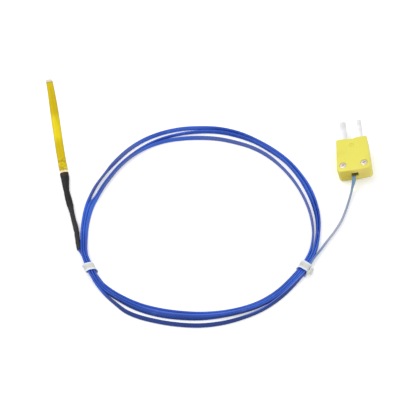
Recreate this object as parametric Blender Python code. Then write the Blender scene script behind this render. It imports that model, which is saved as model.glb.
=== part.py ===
import math

import bpy
import bmesh
from mathutils import Euler, Matrix, Vector

for leftover in list(bpy.data.objects):
    bpy.data.objects.remove(leftover, do_unlink=True)

# Driving dimensions, in metres
MM = 0.001
JOIN_GAP = 0.3 * MM
LAMINATE_GAP = 0.05 * MM

# Measuring strip
STRIP_LENGTH = 59.6 * MM
TIP_TO_JUNCTION = 4.5 * MM
STRIP_TIP_WIDTH = 3.1 * MM
STRIP_WIDTH = 3.8 * MM
STRIP_TAIL_WIDTH = 2.9 * MM
FILM_TAIL_LENGTH = 3.6 * MM
FILM_THICKNESS = 0.12 * MM
RIBBON_WIDTH = 0.62 * MM
RIBBON_THICKNESS = 0.16 * MM
RIBBON_PITCH = 1.5 * MM
END_PATCH_LENGTH = 2.8 * MM
STRIP_RISE = 0.75 * MM
STRIP_RISE_LENGTH = 9.0 * MM

# Shrink sleeve and splices
SLEEVE_LENGTH = 44.4 * MM
SLEEVE_WALL = 0.25 * MM
SLEEVE_HEIGHT = 2.3 * MM
SPLICE_DIAMETER = 1.1 * MM
SPLICE_BORE = 0.7 * MM
SPLICE_LENGTH = 3.4 * MM
CORE_DIAMETER = 0.36 * MM

# Flat cable, and a tube about as large as its section
CABLE_WIDTH = 2.0 * MM
CORD_DIAMETER = 1.45 * MM
COIL_RADIUS = 54.0 * MM
COIL_BESIDE_SLEEVE = 2.7 * MM
COIL_ABOVE_SLEEVE_END = 3.8 * MM
COIL_X = COIL_RADIUS + COIL_BESIDE_SLEEVE
COIL_Y = TIP_TO_JUNCTION - STRIP_LENGTH - SLEEVE_LENGTH + COIL_ABOVE_SLEEVE_END
PHOTO_TURN = 12.0

# Ties round the coil
TIE_WALL = 0.5 * MM
TIE_WIDTH = 5.6 * MM
TIE_HEIGHT = 3.9 * MM
TIE_LENGTH = 5.4 * MM
TIE_BAND = 1.7 * MM
TIE_TAIL = 1.8 * MM
TIE_LEFT_ANGLE = 207.0
TIE_LEFT_OUTWARDS = 1.8 * MM
TIE_RIGHT_ANGLE = 331.6
TIE_RIGHT_INWARDS = 0.6 * MM

# Plug
PLUG_BESIDE_COIL = 23.95 * MM
PLUG_ABOVE_COIL = 16.43 * MM
PLUG_X = COIL_X + COIL_RADIUS + PLUG_BESIDE_COIL
PLUG_Y = COIL_Y + PLUG_ABOVE_COIL
PLUG_YAW = -11.8
PLUG_ROLL = 15.0
PLUG_LENGTH = 19.5 * MM
PLUG_FRONT_WIDTH = 14.75 * MM
PLUG_REAR_WIDTH = 16.15 * MM
PLUG_REAR_SWEEP = 2.5
PLUG_THICKNESS = 8.0 * MM
PLUG_BEVEL = 0.45 * MM
PLUG_WALL = 1.4 * MM
PIN_PITCH = 7.9 * MM
NEGATIVE_PIN_WIDTH = 3.2 * MM
POSITIVE_PIN_WIDTH = 2.4 * MM
PIN_THICKNESS = 0.8 * MM
PIN_TAB_THICKNESS = 0.6 * MM
PIN_TAB_WIDTH = 4.2 * MM
PIN_PROJECTION = 13.0 * MM
COVER_SCREW_PITCH = 10.0 * MM
COVER_SCREW_FROM_REAR = 3.95 * MM
COVER_SCREW_Y = COVER_SCREW_FROM_REAR - PLUG_LENGTH / 2
SCREW_HEAD_DIAMETER = 3.0 * MM
SCREW_HEAD_HEIGHT = 1.1 * MM
SCREW_SHANK_DIAMETER = 1.7 * MM
NUT_ACROSS_FLATS = 3.8 * MM
NUT_HEIGHT = 1.2 * MM
TERMINAL_FROM_FRONT = 6.35 * MM
TERMINAL_Y = PLUG_LENGTH / 2 - TERMINAL_FROM_FRONT
TERMINAL_SHANK_DIAMETER = 1.4 * MM
SLOT_WIDTH = 3.1 * MM
SLOT_BELOW = 0.8 * MM
SLOT_ABOVE = 2.4 * MM
DIMPLE_FROM_FRONT = 4.5 * MM
CONDUCTOR_DIAMETER = 0.45 * MM
LEAD_SIDE = -0.55 * MM


def material(name, color, metallic, roughness):
    mat = bpy.data.materials.new(name)
    mat.use_nodes = True
    shader = mat.node_tree.nodes["Principled BSDF"]
    shader.inputs["Base Color"].default_value = (color[0], color[1], color[2], 1.0)
    shader.inputs["Metallic"].default_value = metallic
    shader.inputs["Roughness"].default_value = roughness
    return mat


def solid(name, vertices, faces, look):
    mesh = bpy.data.meshes.new(name)
    mesh.from_pydata([tuple(v) for v in vertices], [], faces)
    mesh.update()
    work = bmesh.new()
    work.from_mesh(mesh)
    bmesh.ops.recalc_face_normals(work, faces=work.faces)
    work.to_mesh(mesh)
    work.free()
    body = bpy.data.objects.new(name, mesh)
    bpy.context.scene.collection.objects.link(body)
    if look is not None:
        body.data.materials.append(material(name, *look))
    return body


def loft(name, rings, look, closed=False):
    count = len(rings[0])
    vertices = [point for ring in rings for point in ring]
    faces = []
    spans = len(rings) if closed else len(rings) - 1
    for i in range(spans):
        a = i * count
        b = ((i + 1) % len(rings)) * count
        for j in range(count):
            k = (j + 1) % count
            faces.append((a + j, a + k, b + k, b + j))
    if not closed:
        last = (len(rings) - 1) * count
        faces.append(tuple(range(count)))
        faces.append(tuple(range(last, last + count)))
    return solid(name, vertices, faces, look)


def prism(name, outline, low, high, look=None):
    rings = [[Vector((x, y, z)) for x, y in outline] for z in (low, high)]
    return loft(name, rings, look)


def circle(x, y, radius, sides, start=0.0):
    turn = math.tau / sides
    return [(x + radius * math.cos(start + turn * i), y + radius * math.sin(start + turn * i))
            for i in range(sides)]


def rectangle(x0, x1, y0, y1):
    return [(x0, y0), (x1, y0), (x1, y1), (x0, y1)]


def carve(body, cutters, operation="DIFFERENCE"):
    for cutter in cutters:
        step = body.modifiers.new("carve", "BOOLEAN")
        step.operation = operation
        step.solver = "EXACT"
        step.object = cutter
    bpy.context.view_layer.update()
    graph = bpy.context.evaluated_depsgraph_get()
    result = bpy.data.meshes.new_from_object(body.evaluated_get(graph))
    body.modifiers.clear()
    body.data = result
    for cutter in cutters:
        bpy.data.objects.remove(cutter, do_unlink=True)
    return body


def smooth_step(value):
    value = min(1.0, max(0.0, value))
    return value * value * (3.0 - 2.0 * value)


def table(stations, value):
    if value <= stations[0][0]:
        return stations[0][1]
    for (a, low), (b, high) in zip(stations, stations[1:]):
        if value <= b:
            return low + (high - low) * smooth_step((value - a) / (b - a))
    return stations[-1][1]


def smooth_path(points, spacing):
    """A Catmull-Rom curve through the points, read at an even spacing."""
    ends = [points[0] * 2 - points[1]] + list(points) + [points[-1] * 2 - points[-2]]
    dense = []
    for a, b, c, d in zip(ends, ends[1:], ends[2:], ends[3:]):
        for i in range(12):
            t = i / 12.0
            dense.append(0.5 * (2 * b + (c - a) * t + (2 * a - 5 * b + 4 * c - d) * t * t
                                + (3 * b - a - 3 * c + d) * t * t * t))
    dense.append(Vector(points[-1]))
    total = sum((q - p).length for p, q in zip(dense, dense[1:]))
    count = max(2, round(total / spacing))
    result = [dense[0]]
    travelled = 0.0
    wanted = total / count
    for p, q in zip(dense, dense[1:]):
        step = (q - p).length
        while travelled + step >= wanted - 1e-9 and len(result) < count:
            result.append(p.lerp(q, (wanted - travelled) / step))
            wanted += total / count
        travelled += step
    result.append(dense[-1])
    return result


def wire(name, points, diameter, look, resolution=2, frame=None):
    curve = bpy.data.curves.new(name, "CURVE")
    curve.dimensions = "3D"
    curve.bevel_depth = diameter / 2
    curve.bevel_resolution = resolution
    curve.use_fill_caps = True
    line = curve.splines.new("POLY")
    line.points.add(len(points) - 1)
    for place, point in zip(line.points, points):
        place.co = (point[0], point[1], point[2], 1.0)
    body = bpy.data.objects.new(name, curve)
    bpy.context.scene.collection.objects.link(body)
    body.data.materials.append(material(name, *look))
    return body


# Looks: base colour, metallic, roughness
AMBER_FILM = ((0.66, 0.46, 0.02), 0.0, 0.3)
PALE_PATCH = ((0.78, 0.74, 0.68), 0.0, 0.5)
POSITIVE_METAL = ((0.62, 0.6, 0.55), 1.0, 0.35)
NEGATIVE_METAL = ((0.5, 0.47, 0.42), 1.0, 0.35)
BRIGHT_METAL = ((0.75, 0.75, 0.76), 1.0, 0.25)
BLACK_SLEEVE = ((0.025, 0.025, 0.028), 0.0, 0.55)
BLUE_JACKET = ((0.035, 0.1, 0.47), 0.0, 0.25)
WHITE_TIE = ((0.74, 0.77, 0.75), 0.0, 0.4)
YELLOW_BODY = ((0.8, 0.74, 0.1), 0.0, 0.35)

# Height of the strip's underside: flat on the floor, then rising into the sleeve
RISE_END = TIP_TO_JUNCTION - STRIP_LENGTH - 1.2 * MM
SLEEVE_START = TIP_TO_JUNCTION - STRIP_LENGTH
SLEEVE_END = SLEEVE_START - SLEEVE_LENGTH
FILM_END = SLEEVE_START - FILM_TAIL_LENGTH


def strip_rise(y):
    return STRIP_RISE * smooth_step((RISE_END + STRIP_RISE_LENGTH - y) / STRIP_RISE_LENGTH)


def along(y):
    """A place read off a strip of 59.6 and a sleeve of 44.4 long, for the lengths that are set."""
    if y > -55.1:
        return TIP_TO_JUNCTION - (4.5 - y) / 59.6 * STRIP_LENGTH
    return SLEEVE_START - (-55.1 - y) / 44.4 * SLEEVE_LENGTH


def strip_bow(y):
    """Sideways place of the strip's and the sleeve's middle line."""
    stations = [(-99.6, -0.85), (-95.3, -0.75), (-91.4, -0.55), (-87.5, -0.5), (-83.4, -0.6),
                (-79.3, -0.8), (-75.0, -1.15), (-71.0, -1.4), (-66.4, -1.6), (-62.7, -1.45),
                (-57.4, -1.15), (-50.0, -1.15), (-40.8, -1.05), (-28.0, -0.68), (-15.0, -0.28),
                (-2.5, 0.0)]
    places = [(along(y0), x0 * MM) for y0, x0 in stations]
    if y >= places[-1][0]:
        return places[-1][1]
    if y <= places[0][0]:
        return places[0][1]
    for (a, low), (b, high) in zip(places, places[1:]):
        if y <= b:
            return low + (high - low) * (y - a) / (b - a)
    return 0.0


def strip_half_width(y):
    tip = TIP_TO_JUNCTION
    corner = 0.7 * MM
    if y > tip - corner:
        drop = (y - (tip - corner)) / corner
        return STRIP_TIP_WIDTH / 2 - corner + corner * math.sqrt(max(0.0, 1.0 - drop * drop))
    stations = [(FILM_END, STRIP_TAIL_WIDTH / 2), (SLEEVE_START + 0.2 * MM, STRIP_TAIL_WIDTH / 2),
                (SLEEVE_START + 4.5 * MM, STRIP_WIDTH / 2), (tip - 24 * MM, STRIP_WIDTH / 2),
                (tip - 7 * MM, STRIP_TIP_WIDTH / 2 + 0.1 * MM), (tip - corner, STRIP_TIP_WIDTH / 2)]
    return table(stations, y)


STACK_RIBBON = FILM_THICKNESS + LAMINATE_GAP
BEAD_WIDTH = 2.0 * MM
BEAD_LENGTH = 1.8 * MM


def film_stations(first, last):
    """Places along the film: at its tip, at the bead, and from there to its end in the sleeve."""
    bead = BEAD_LENGTH / 2
    marks = [TIP_TO_JUNCTION - step * MM for step in (0.08, 0.25, 0.5, 0.7)]
    marks += [bead + 0.5 * MM, bead + 0.1 * MM, -bead - 0.1 * MM, -bead - 0.4 * MM]
    marks += [along(y) for y in (-4, -8, -12, -16, -20, -25, -30, -35, -40, -44, -46.5, -48, -49.5,
                                 -51, -52.5, -54, -54.9)]
    marks += [SLEEVE_START - share * FILM_TAIL_LENGTH for share in (0.7 / 3.6, 1.9 / 3.6)]
    inner = [y for y in marks if last + 0.2 * MM < y < first - 0.03 * MM]
    return [first] + inner + [last]


def ribbon_cover(x, y):
    """How far the upper film is raised at x off the middle line, from 0 to 1."""
    reach = RIBBON_WIDTH / 2 + 0.12 * MM
    edge = 0.2 * MM
    off = abs(abs(x) - RIBBON_PITCH / 2)
    share = smooth_step(1.0 - (off - reach) / edge)
    if abs(y) < BEAD_LENGTH / 2 + 0.25 * MM:
        share = max(share, smooth_step(1.0 - (abs(x) - BEAD_WIDTH / 2 - 0.12 * MM) / edge))
    if y > BEAD_LENGTH / 2 + 0.35 * MM:
        share = 0.0
    return share


def film_base():
    rings = []
    for y in film_stations(TIP_TO_JUNCTION, FILM_END):
        x = strip_bow(y)
        half = strip_half_width(y)
        low = strip_rise(y)
        high = low + FILM_THICKNESS
        rings.append([(x - half, y, low), (x + half, y, low), (x + half, y, high), (x - half, y, high)])
    loft("film_base", rings, AMBER_FILM)


def film_top():
    start = TIP_TO_JUNCTION - END_PATCH_LENGTH - JOIN_GAP
    reach = RIBBON_WIDTH / 2 + 0.12 * MM
    half_pitch = RIBBON_PITCH / 2
    offsets = sorted(side * (half_pitch + step) for side in (-1, 1)
                     for step in (-reach - 0.2 * MM, -reach - 0.08 * MM, -reach, reach,
                                  reach + 0.08 * MM, reach + 0.2 * MM))
    rings = []
    for y in film_stations(start, FILM_END):
        x = strip_bow(y)
        half = strip_half_width(y)
        low = strip_rise(y) + STACK_RIBBON
        lift = RIBBON_THICKNESS + LAMINATE_GAP
        across = [-half] + offsets + [half]
        under = [(x + o, y, low + lift * ribbon_cover(o, y)) for o in across]
        over = [(px, py, pz + FILM_THICKNESS) for px, py, pz in reversed(under)]
        rings.append(under + over)
    loft("film_top", rings, AMBER_FILM)


def end_patch():
    first = TIP_TO_JUNCTION
    last = first - END_PATCH_LENGTH
    rings = []
    for y in (first, first - 0.08 * MM, first - 0.25 * MM, first - 0.5 * MM, first - 0.7 * MM, last):
        half = strip_half_width(y)
        low = STACK_RIBBON
        high = low + 0.24 * MM
        rings.append([(-half, y, low), (half, y, low), (half, y, high), (-half, y, high)])
    loft("end_patch", rings, PALE_PATCH)


def junction_bead():
    rings = []
    for y, share in ((0.5, 0.7), (0.42, 0.92), (0.25, 1.0), (-0.25, 1.0), (-0.42, 0.92), (-0.5, 0.7)):
        half = BEAD_WIDTH / 2 * share
        low = STACK_RIBBON
        high = low + RIBBON_THICKNESS
        at = y * BEAD_LENGTH
        rings.append([(-half, at, low), (half, at, low), (half, at, high), (-half, at, high)])
    loft("junction_bead", rings, BRIGHT_METAL)


# Where each ribbon enters its splice, and where the splices sit along the sleeve
POSITIVE_SPLICE_Y = along(-60.3)
NEGATIVE_SPLICE_Y = along(-69.1)
ENTRY_START = along(-82.1)


def core_side(side, y):
    """Sideways place of a conductor inside the sleeve, off the sleeve's middle line."""
    if side < 0:
        stations = [(ENTRY_START, -0.3 * MM), (NEGATIVE_SPLICE_Y - SPLICE_LENGTH - 3 * MM, -0.35 * MM),
                    (NEGATIVE_SPLICE_Y - SPLICE_LENGTH, -0.4 * MM), (NEGATIVE_SPLICE_Y, -0.4 * MM),
                    (POSITIVE_SPLICE_Y, -0.85 * MM), (FILM_END, -RIBBON_PITCH / 2)]
    else:
        stations = [(ENTRY_START, 0.3 * MM), (NEGATIVE_SPLICE_Y - SPLICE_LENGTH - 3 * MM, 0.4 * MM),
                    (NEGATIVE_SPLICE_Y - SPLICE_LENGTH, 0.75 * MM), (NEGATIVE_SPLICE_Y, 0.75 * MM),
                    (POSITIVE_SPLICE_Y - SPLICE_LENGTH, 0.35 * MM), (POSITIVE_SPLICE_Y, 0.35 * MM),
                    (FILM_END, RIBBON_PITCH / 2)]
    return table(stations, y)


def sleeve_middle(y):
    height = table([(SLEEVE_END, SLEEVE_HEIGHT / 2), (SLEEVE_START, SLEEVE_HEIGHT / 2)], y)
    return Vector((strip_bow(y), y, height))


def ribbon(name, side, end, look):
    marks = [y for y in film_stations(-BEAD_LENGTH / 2 - JOIN_GAP, FILM_END)]
    beyond = [FILM_END + (end - FILM_END) * i / 4.0 for i in range(1, 5)]
    rings = []
    tail_half = min(RIBBON_WIDTH, SPLICE_BORE - 0.3 * MM) / 2
    for y in marks + beyond:
        half = table([(end, tail_half), (FILM_END - 0.8 * MM, tail_half), (FILM_END, RIBBON_WIDTH / 2)], y)
        x = strip_bow(y) + (core_side(side, y) if y < FILM_END else side * RIBBON_PITCH / 2)
        low = strip_rise(y) + STACK_RIBBON
        high = low + RIBBON_THICKNESS
        rings.append([(x - half, y, low), (x + half, y, low), (x + half, y, high), (x - half, y, high)])
    loft(name, rings, look)


def splice(name, side, start, look):
    rings = []
    half_bore = SPLICE_BORE / 2
    half = SPLICE_DIAMETER / 2
    for y, radius in ((0.0, half_bore), (0.0, half), (-1.0, half), (-1.0, half_bore)):
        at = start + y * SPLICE_LENGTH
        middle = sleeve_middle(start - SPLICE_LENGTH / 2)
        shift = core_side(side, start - SPLICE_LENGTH / 2)
        rings.append([(middle.x + shift + px, at, middle.z + pz) for px, pz in circle(0, 0, radius, 14)])
    loft(name, rings, look, closed=True)


def core(name, side, start, look):
    first = start - SPLICE_LENGTH + 1.2 * MM
    last = ENTRY_START + JOIN_GAP
    count = 10
    points = []
    for i in range(count + 1):
        y = first + (last - first) * i / count
        middle = sleeve_middle(y)
        points.append(middle + Vector((core_side(side, y), 0, 0)))
    wire(name, points, CORE_DIAMETER, look, resolution=1)


def sleeve_half_width(share):
    """Outer half width along the sleeve, from its mouth (0) to its end (1)."""
    stations = [(0.0, 1.95), (0.04, 1.95), (0.16, 1.72), (0.25, 1.5), (0.34, 1.62), (0.46, 1.45),
                (0.56, 1.22), (0.7, 1.3), (0.82, 1.22), (1.0, 1.1)]
    return table([(a, b * MM) for a, b in stations], share)


def shrink_sleeve():
    smallest = CORD_DIAMETER / 2 + 0.16 * MM + SLEEVE_WALL
    outer = []
    inner = []
    count = 30
    for i in range(count + 1):
        share = i / count
        y = SLEEVE_START - SLEEVE_LENGTH * share
        middle = sleeve_middle(y)
        half = max(smallest, sleeve_half_width(share))
        up = SLEEVE_HEIGHT / 2
        ring = []
        hollow = []
        for j in range(16):
            turn = math.tau * j / 16
            across = math.cos(turn)
            rise = math.sin(turn)
            ring.append(middle + Vector((half * across, 0, up * rise)))
            hollow.append(middle + Vector(((half - SLEEVE_WALL) * across, 0, (up - SLEEVE_WALL) * rise)))
        outer.append(ring)
        inner.append(hollow)
    loft("shrink_sleeve", outer + inner[::-1], BLACK_SLEEVE, closed=True)


def coil_point(angle, radius, z):
    turn = math.radians(angle - PHOTO_TURN)
    return Vector((COIL_X + radius * math.cos(turn), COIL_Y + radius * math.sin(turn), z))


# The coil's places were read off a coil with a radius of 54
COIL_UNIT = COIL_RADIUS / 54.0
TIE_LEFT_RADIUS = COIL_RADIUS + TIE_LEFT_OUTWARDS
TIE_RIGHT_RADIUS = COIL_RADIUS - TIE_RIGHT_INWARDS
NECK = TIE_WIDTH / 2 - TIE_WALL - JOIN_GAP
LEFT_SHOULDER = 199.6
RIGHT_SHOULDER = 337.4


def coil_bands():
    """Stations round the coil: angle in the picture, inner and outer radius of the bundle."""
    left = TIE_LEFT_RADIUS / COIL_UNIT
    right = TIE_RIGHT_RADIUS / COIL_UNIT
    neck = NECK / COIL_UNIT
    return [
        (0, 51.2, 55.4), (15, 50.2, 55.2), (30, 49.3, 54.8), (45, 49.2, 54.7), (60, 49.2, 54.7),
        (75, 48.7, 54.9), (90, 48.3, 55.0), (105, 48.8, 55.3), (115, 49.2, 55.2), (130, 49.2, 54.5),
        (140, 48.9, 53.9), (150, 48.7, 53.5), (160, 49.1, 53.9), (170, 50.3, 54.4), (180, 51.7, 54.9),
        (188, 52.8, 55.7), (LEFT_SHOULDER - 0.4, 53.9, 56.4), (LEFT_SHOULDER, 53.9, 58.3),
        (202.0, 53.95, 58.3), (204.0, left - neck, left + neck), (210.2, left - neck, left + neck),
        (213, 54.2, 58.0), (220, 54.5, 58.5), (230, 53.2, 58.8), (240, 52.0, 58.2), (250, 50.7, 57.0),
        (260, 49.7, 56.2), (270, 49.2, 55.6), (280, 49.2, 55.1), (290, 49.5, 54.8), (300, 50.0, 54.9),
        (310, 50.6, 54.8), (322, 50.7, 54.8), (328.3, right - neck, right + neck),
        (335.0, right - neck, right + neck), (RIGHT_SHOULDER, 51.4, 56.3),
        (RIGHT_SHOULDER + 0.4, 51.4, 54.5), (342, 51.9, 54.9), (350, 52.0, 55.3), (360, 51.2, 55.4)]


def tie_lift(angle):
    """How far the bundle is lifted near a tie, from 0 to 1."""
    share = 0.0
    for middle in (TIE_LEFT_ANGLE, TIE_RIGHT_ANGLE):
        off = abs(angle - middle)
        share = max(share, smooth_step(1.0 - (off - 3.4) / 12.0))
    return share


def cable_coil():
    bands = coil_bands()
    angles = []
    for (a, low_a, high_a), (b, low_b, high_b) in zip(bands, bands[1:]):
        count = max(1, round((b - a) / 4.0))
        for i in range(count):
            share = i / count
            ease = smooth_step(share)
            angles.append((a + (b - a) * share, low_a + (low_b - low_a) * ease,
                           high_a + (high_b - high_a) * ease))
    rings = []
    for angle, inner, outer in angles:
        lift = tie_lift(angle)
        low = (TIE_WALL + JOIN_GAP) * lift
        high = CABLE_WIDTH + (TIE_HEIGHT - TIE_WALL - JOIN_GAP - CABLE_WIDTH) * lift
        corner = 0.45 * MM
        ring = []
        for side_r, side_z, start in ((1, 1, 0), (-1, 1, 90), (-1, -1, 180), (1, -1, 270)):
            centre_r = (outer * COIL_UNIT - corner) if side_r > 0 else (inner * COIL_UNIT + corner)
            centre_z = (high - corner) if side_z > 0 else (low + corner)
            for k in range(3):
                turn = math.radians(start + 45 * k)
                radius = centre_r + corner * math.cos(turn)
                ring.append(coil_point(angle, radius, centre_z + corner * math.sin(turn)))
        rings.append(ring)
    loft("cable_coil", rings, BLUE_JACKET, closed=True)


def tie_outline(width, height, corner, per_corner):
    """Places and outward directions round a tie's middle line, across and up."""
    result = []
    for side_u, side_w, start in ((1, 1, 0), (-1, 1, 90), (-1, -1, 180), (1, -1, 270)):
        centre_u = side_u * (width / 2 - corner)
        centre_w = side_w * (height / 2 - corner)
        for k in range(per_corner):
            turn = math.radians(start + 90.0 * k / (per_corner - 1))
            result.append((centre_u + corner * math.cos(turn), centre_w + corner * math.sin(turn),
                           math.cos(turn), math.sin(turn)))
    return result


def tie(name, angle, radius, turns, way, tail):
    """A band wound round the bundle, forwards along it for a way of 1 or backwards for -1."""
    outline = tie_outline(TIE_WIDTH - TIE_WALL, TIE_HEIGHT - TIE_WALL, 1.1 * MM, 6)
    loop = len(outline)
    turn = math.radians(angle - PHOTO_TURN)
    outward = Vector((math.cos(turn), math.sin(turn), 0))
    along = Vector((-math.sin(turn), math.cos(turn), 0))
    middle = coil_point(angle, radius, TIE_HEIGHT / 2)
    travel = TIE_LENGTH - TIE_BAND
    steps = int(turns * loop)
    stops = []
    for i in range(steps + 1):
        u, w, nu, nw = outline[(i + 18) % loop]
        stops.append((u, w, nu, nw, way * travel * (i / steps - 0.5)))
    if tail > 0.0:
        u, w, nu, nw, at = stops[-1]
        stops[-1] = (u, w, 0.0, -1.0, at)
        stops.append((u + tail + 1.1 * MM, w, 0.0, -1.0, at))
    rings = []
    for u, w, nu, nw, at in stops:
        centre = middle + outward * u + Vector((0, 0, w)) + along * at
        normal = outward * nu + Vector((0, 0, nw))
        ring = []
        for side_a, side_n in ((-1, -1), (1, -1), (1, 1), (-1, 1)):
            ring.append(centre + along * (side_a * TIE_BAND / 2) + normal * (side_n * TIE_WALL / 2))
        rings.append(ring)
    return loft(name, rings, WHITE_TIE)


def cable_entry():
    end_face = coil_point(LEFT_SHOULDER - math.degrees(JOIN_GAP / (57.6 * COIL_UNIT)), 57.5 * COIL_UNIT,
                          SLEEVE_HEIGHT / 2)
    marks = [ENTRY_START - 3.1 * MM * i for i in range(7)]
    points = [sleeve_middle(y) for y in marks if y > SLEEVE_END - 0.5 * MM]
    points = [p for p in points if p.y > end_face.y + 3 * MM]
    points.append(end_face)
    wire("cable_entry", smooth_path(points, 2.2 * MM), CORD_DIAMETER, BLUE_JACKET)


# The plug's own axes: X across, Y towards the pins, Z out of the cover
HALF_THICKNESS = PLUG_THICKNESS / 2
HALF_LENGTH = PLUG_LENGTH / 2
FRONT = HALF_LENGTH
REAR = -HALF_LENGTH
SEAM = JOIN_GAP / 2


def plug_outline():
    front = PLUG_FRONT_WIDTH / 2
    rear = PLUG_REAR_WIDTH / 2
    sweep = rear * math.tan(math.radians(PLUG_REAR_SWEEP))
    right = [(0.0, FRONT - 0.45 * MM), (1.5 * MM, FRONT - 0.45 * MM), (2.0 * MM, FRONT),
             (front - 0.5 * MM, FRONT), (front - 0.15 * MM, FRONT - 0.15 * MM), (front, FRONT - 0.5 * MM),
             (rear, REAR + sweep + 1.4 * MM), (rear - 0.3 * MM, REAR + sweep + 0.6 * MM),
             (rear - 1.1 * MM, REAR + sweep), (0.0, REAR)]
    left = [(-x, y) for x, y in reversed(right[1:-1])]
    return right + left


def inset(outline, amount):
    """The outline moved inwards; the outline runs clockwise."""
    count = len(outline)
    result = []
    for i in range(count):
        before = Vector(outline[i - 1])
        here = Vector(outline[i])
        after = Vector(outline[(i + 1) % count])
        first = (here - before).normalized()
        second = (after - here).normalized()
        normal_a = Vector((first.y, -first.x))
        normal_b = Vector((second.y, -second.x))
        bisector = (normal_a + normal_b).normalized()
        reach = amount / max(0.3, bisector.dot(normal_a))
        result.append((here.x + bisector.x * reach, here.y + bisector.y * reach))
    return result


def plug_half(name, side):
    outline = plug_outline()
    layers = [(side * SEAM, 0.0), (side * (HALF_THICKNESS - PLUG_BEVEL), 0.0),
              (side * HALF_THICKNESS, PLUG_BEVEL)]
    rings = [[Vector((x, y, z)) for x, y in inset(outline, amount)] for z, amount in layers]
    body = loft(name, rings, YELLOW_BODY)
    inner = side * (HALF_THICKNESS - PLUG_WALL)
    past = -side * 1.0 * MM
    cutters = []

    def cut(outline_points, z0, z1):
        cutters.append(prism("cutter", outline_points, min(z0, z1), max(z0, z1)))

    chamber = PLUG_FRONT_WIDTH / 2 - 0.9 * MM
    corridor = COVER_SCREW_PITCH / 2 - SCREW_HEAD_DIAMETER / 2 - 0.95 * MM
    room = [(-chamber, TERMINAL_Y - 3.6 * MM), (-corridor, TERMINAL_Y - 3.6 * MM),
            (-corridor, REAR + 1.5 * MM), (corridor, REAR + 1.5 * MM),
            (corridor, TERMINAL_Y - 3.6 * MM), (chamber, TERMINAL_Y - 3.6 * MM),
            (chamber, FRONT - 3.4 * MM), (-chamber, FRONT - 3.4 * MM)]
    cut(room, inner, past)
    reach = SLOT_ABOVE if side > 0 else SLOT_BELOW
    cut(rectangle(-SLOT_WIDTH / 2, SLOT_WIDTH / 2, REAR - 1 * MM, REAR + 2 * MM), side * reach, past)
    for sign, width in ((-1, NEGATIVE_PIN_WIDTH), (1, POSITIVE_PIN_WIDTH)):
        x = sign * PIN_PITCH / 2
        play = 0.15 * MM
        cut(rectangle(x - width / 2 - play, x + width / 2 + play, FRONT - 4 * MM, FRONT + 1 * MM),
            side * (PIN_TAB_THICKNESS / 2 + play), past)
    for sign in (-1, 1):
        x = sign * COVER_SCREW_PITCH / 2
        bore = SCREW_SHANK_DIAMETER / 2 + JOIN_GAP
        cut(circle(x, COVER_SCREW_Y, bore, 16), side * (HALF_THICKNESS + 1 * MM), past)
        if side > 0:
            floor = HALF_THICKNESS - SCREW_HEAD_HEIGHT - 0.1 * MM - JOIN_GAP
            cut(circle(x, COVER_SCREW_Y, SCREW_HEAD_DIAMETER / 2 + JOIN_GAP, 24), floor,
                HALF_THICKNESS + 1 * MM)
        else:
            ceiling = -(HALF_THICKNESS - NUT_HEIGHT - 0.1 * MM - JOIN_GAP)
            corner = (NUT_ACROSS_FLATS / 2 + JOIN_GAP) / math.cos(math.radians(30))
            cut(circle(x, COVER_SCREW_Y, corner, 6), -HALF_THICKNESS - 1 * MM, ceiling)
    if side > 0:
        dimple = loft("cutter", [
            [Vector((x, y, HALF_THICKNESS - 0.3 * MM)) for x, y in circle(0.0, FRONT - DIMPLE_FROM_FRONT, 0.35 * MM, 16)],
            [Vector((x, y, HALF_THICKNESS + 0.2 * MM)) for x, y in circle(0.0, FRONT - DIMPLE_FROM_FRONT, 1.0 * MM, 16)]],
            None)
        cutters.append(dimple)
    return carve(body, cutters)


def pin(name, sign, width, look):
    x = sign * PIN_PITCH / 2
    step_y = FRONT + 0.15 * MM
    tip = FRONT + PIN_PROJECTION
    half = width / 2
    blade = [(x - half, step_y), (x - half, tip - 0.6 * MM), (x - half + 0.15 * MM, tip - 0.2 * MM),
             (x - half + 0.55 * MM, tip), (x + half - 0.55 * MM, tip),
             (x + half - 0.15 * MM, tip - 0.2 * MM), (x + half, tip - 0.6 * MM), (x + half, step_y)]
    body = prism(name, blade, -PIN_THICKNESS / 2, PIN_THICKNESS / 2, look)
    wide = PIN_TAB_WIDTH / 2
    chamber = FRONT - 3.4 * MM - JOIN_GAP
    tab = [(x - wide, TERMINAL_Y - 2.8 * MM), (x - wide, chamber), (x - half, chamber),
           (x - half, step_y + 0.5 * MM), (x + half, step_y + 0.5 * MM), (x + half, chamber),
           (x + wide, chamber), (x + wide, TERMINAL_Y - 2.8 * MM)]
    inside = prism("cutter", tab, -PIN_TAB_THICKNESS / 2, PIN_TAB_THICKNESS / 2)
    carve(body, [inside], "UNION")
    hole = prism("cutter", circle(x, TERMINAL_Y, TERMINAL_SHANK_DIAMETER / 2 + JOIN_GAP, 16),
                 -1 * MM, 1 * MM)
    return carve(body, [hole])


def screw(name, x, y, low, seat, head_height, shank, head, recess, look):
    sides = 20
    rings = []
    for z, radius in ((low, shank * 0.8), (low + 0.2 * MM, shank), (seat, shank), (seat, head),
                      (seat + head_height * 0.65, head), (seat + head_height, head * 0.8)):
        rings.append([Vector((px, py, z)) for px, py in circle(x, y, radius, sides)])
    body = loft(name, rings, look)
    top = seat + head_height
    cutters = []
    if recess == "cross":
        arm = head * 0.62
        half = head * 0.13
        plus = [(half, half), (half, arm), (-half, arm), (-half, half), (-arm, half), (-arm, -half),
                (-half, -half), (-half, -arm), (half, -arm), (half, -half), (arm, -half), (arm, half)]
        cutters.append(prism("cutter", [(x + px, y + py) for px, py in plus], top - 0.5 * MM, top + 1 * MM))
    else:
        cutters.append(prism("cutter", rectangle(x - 3 * MM, x + 3 * MM, y - 0.2 * MM, y + 0.2 * MM),
                             top - 0.35 * MM, top + 1 * MM))
    return carve(body, cutters)


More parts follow.
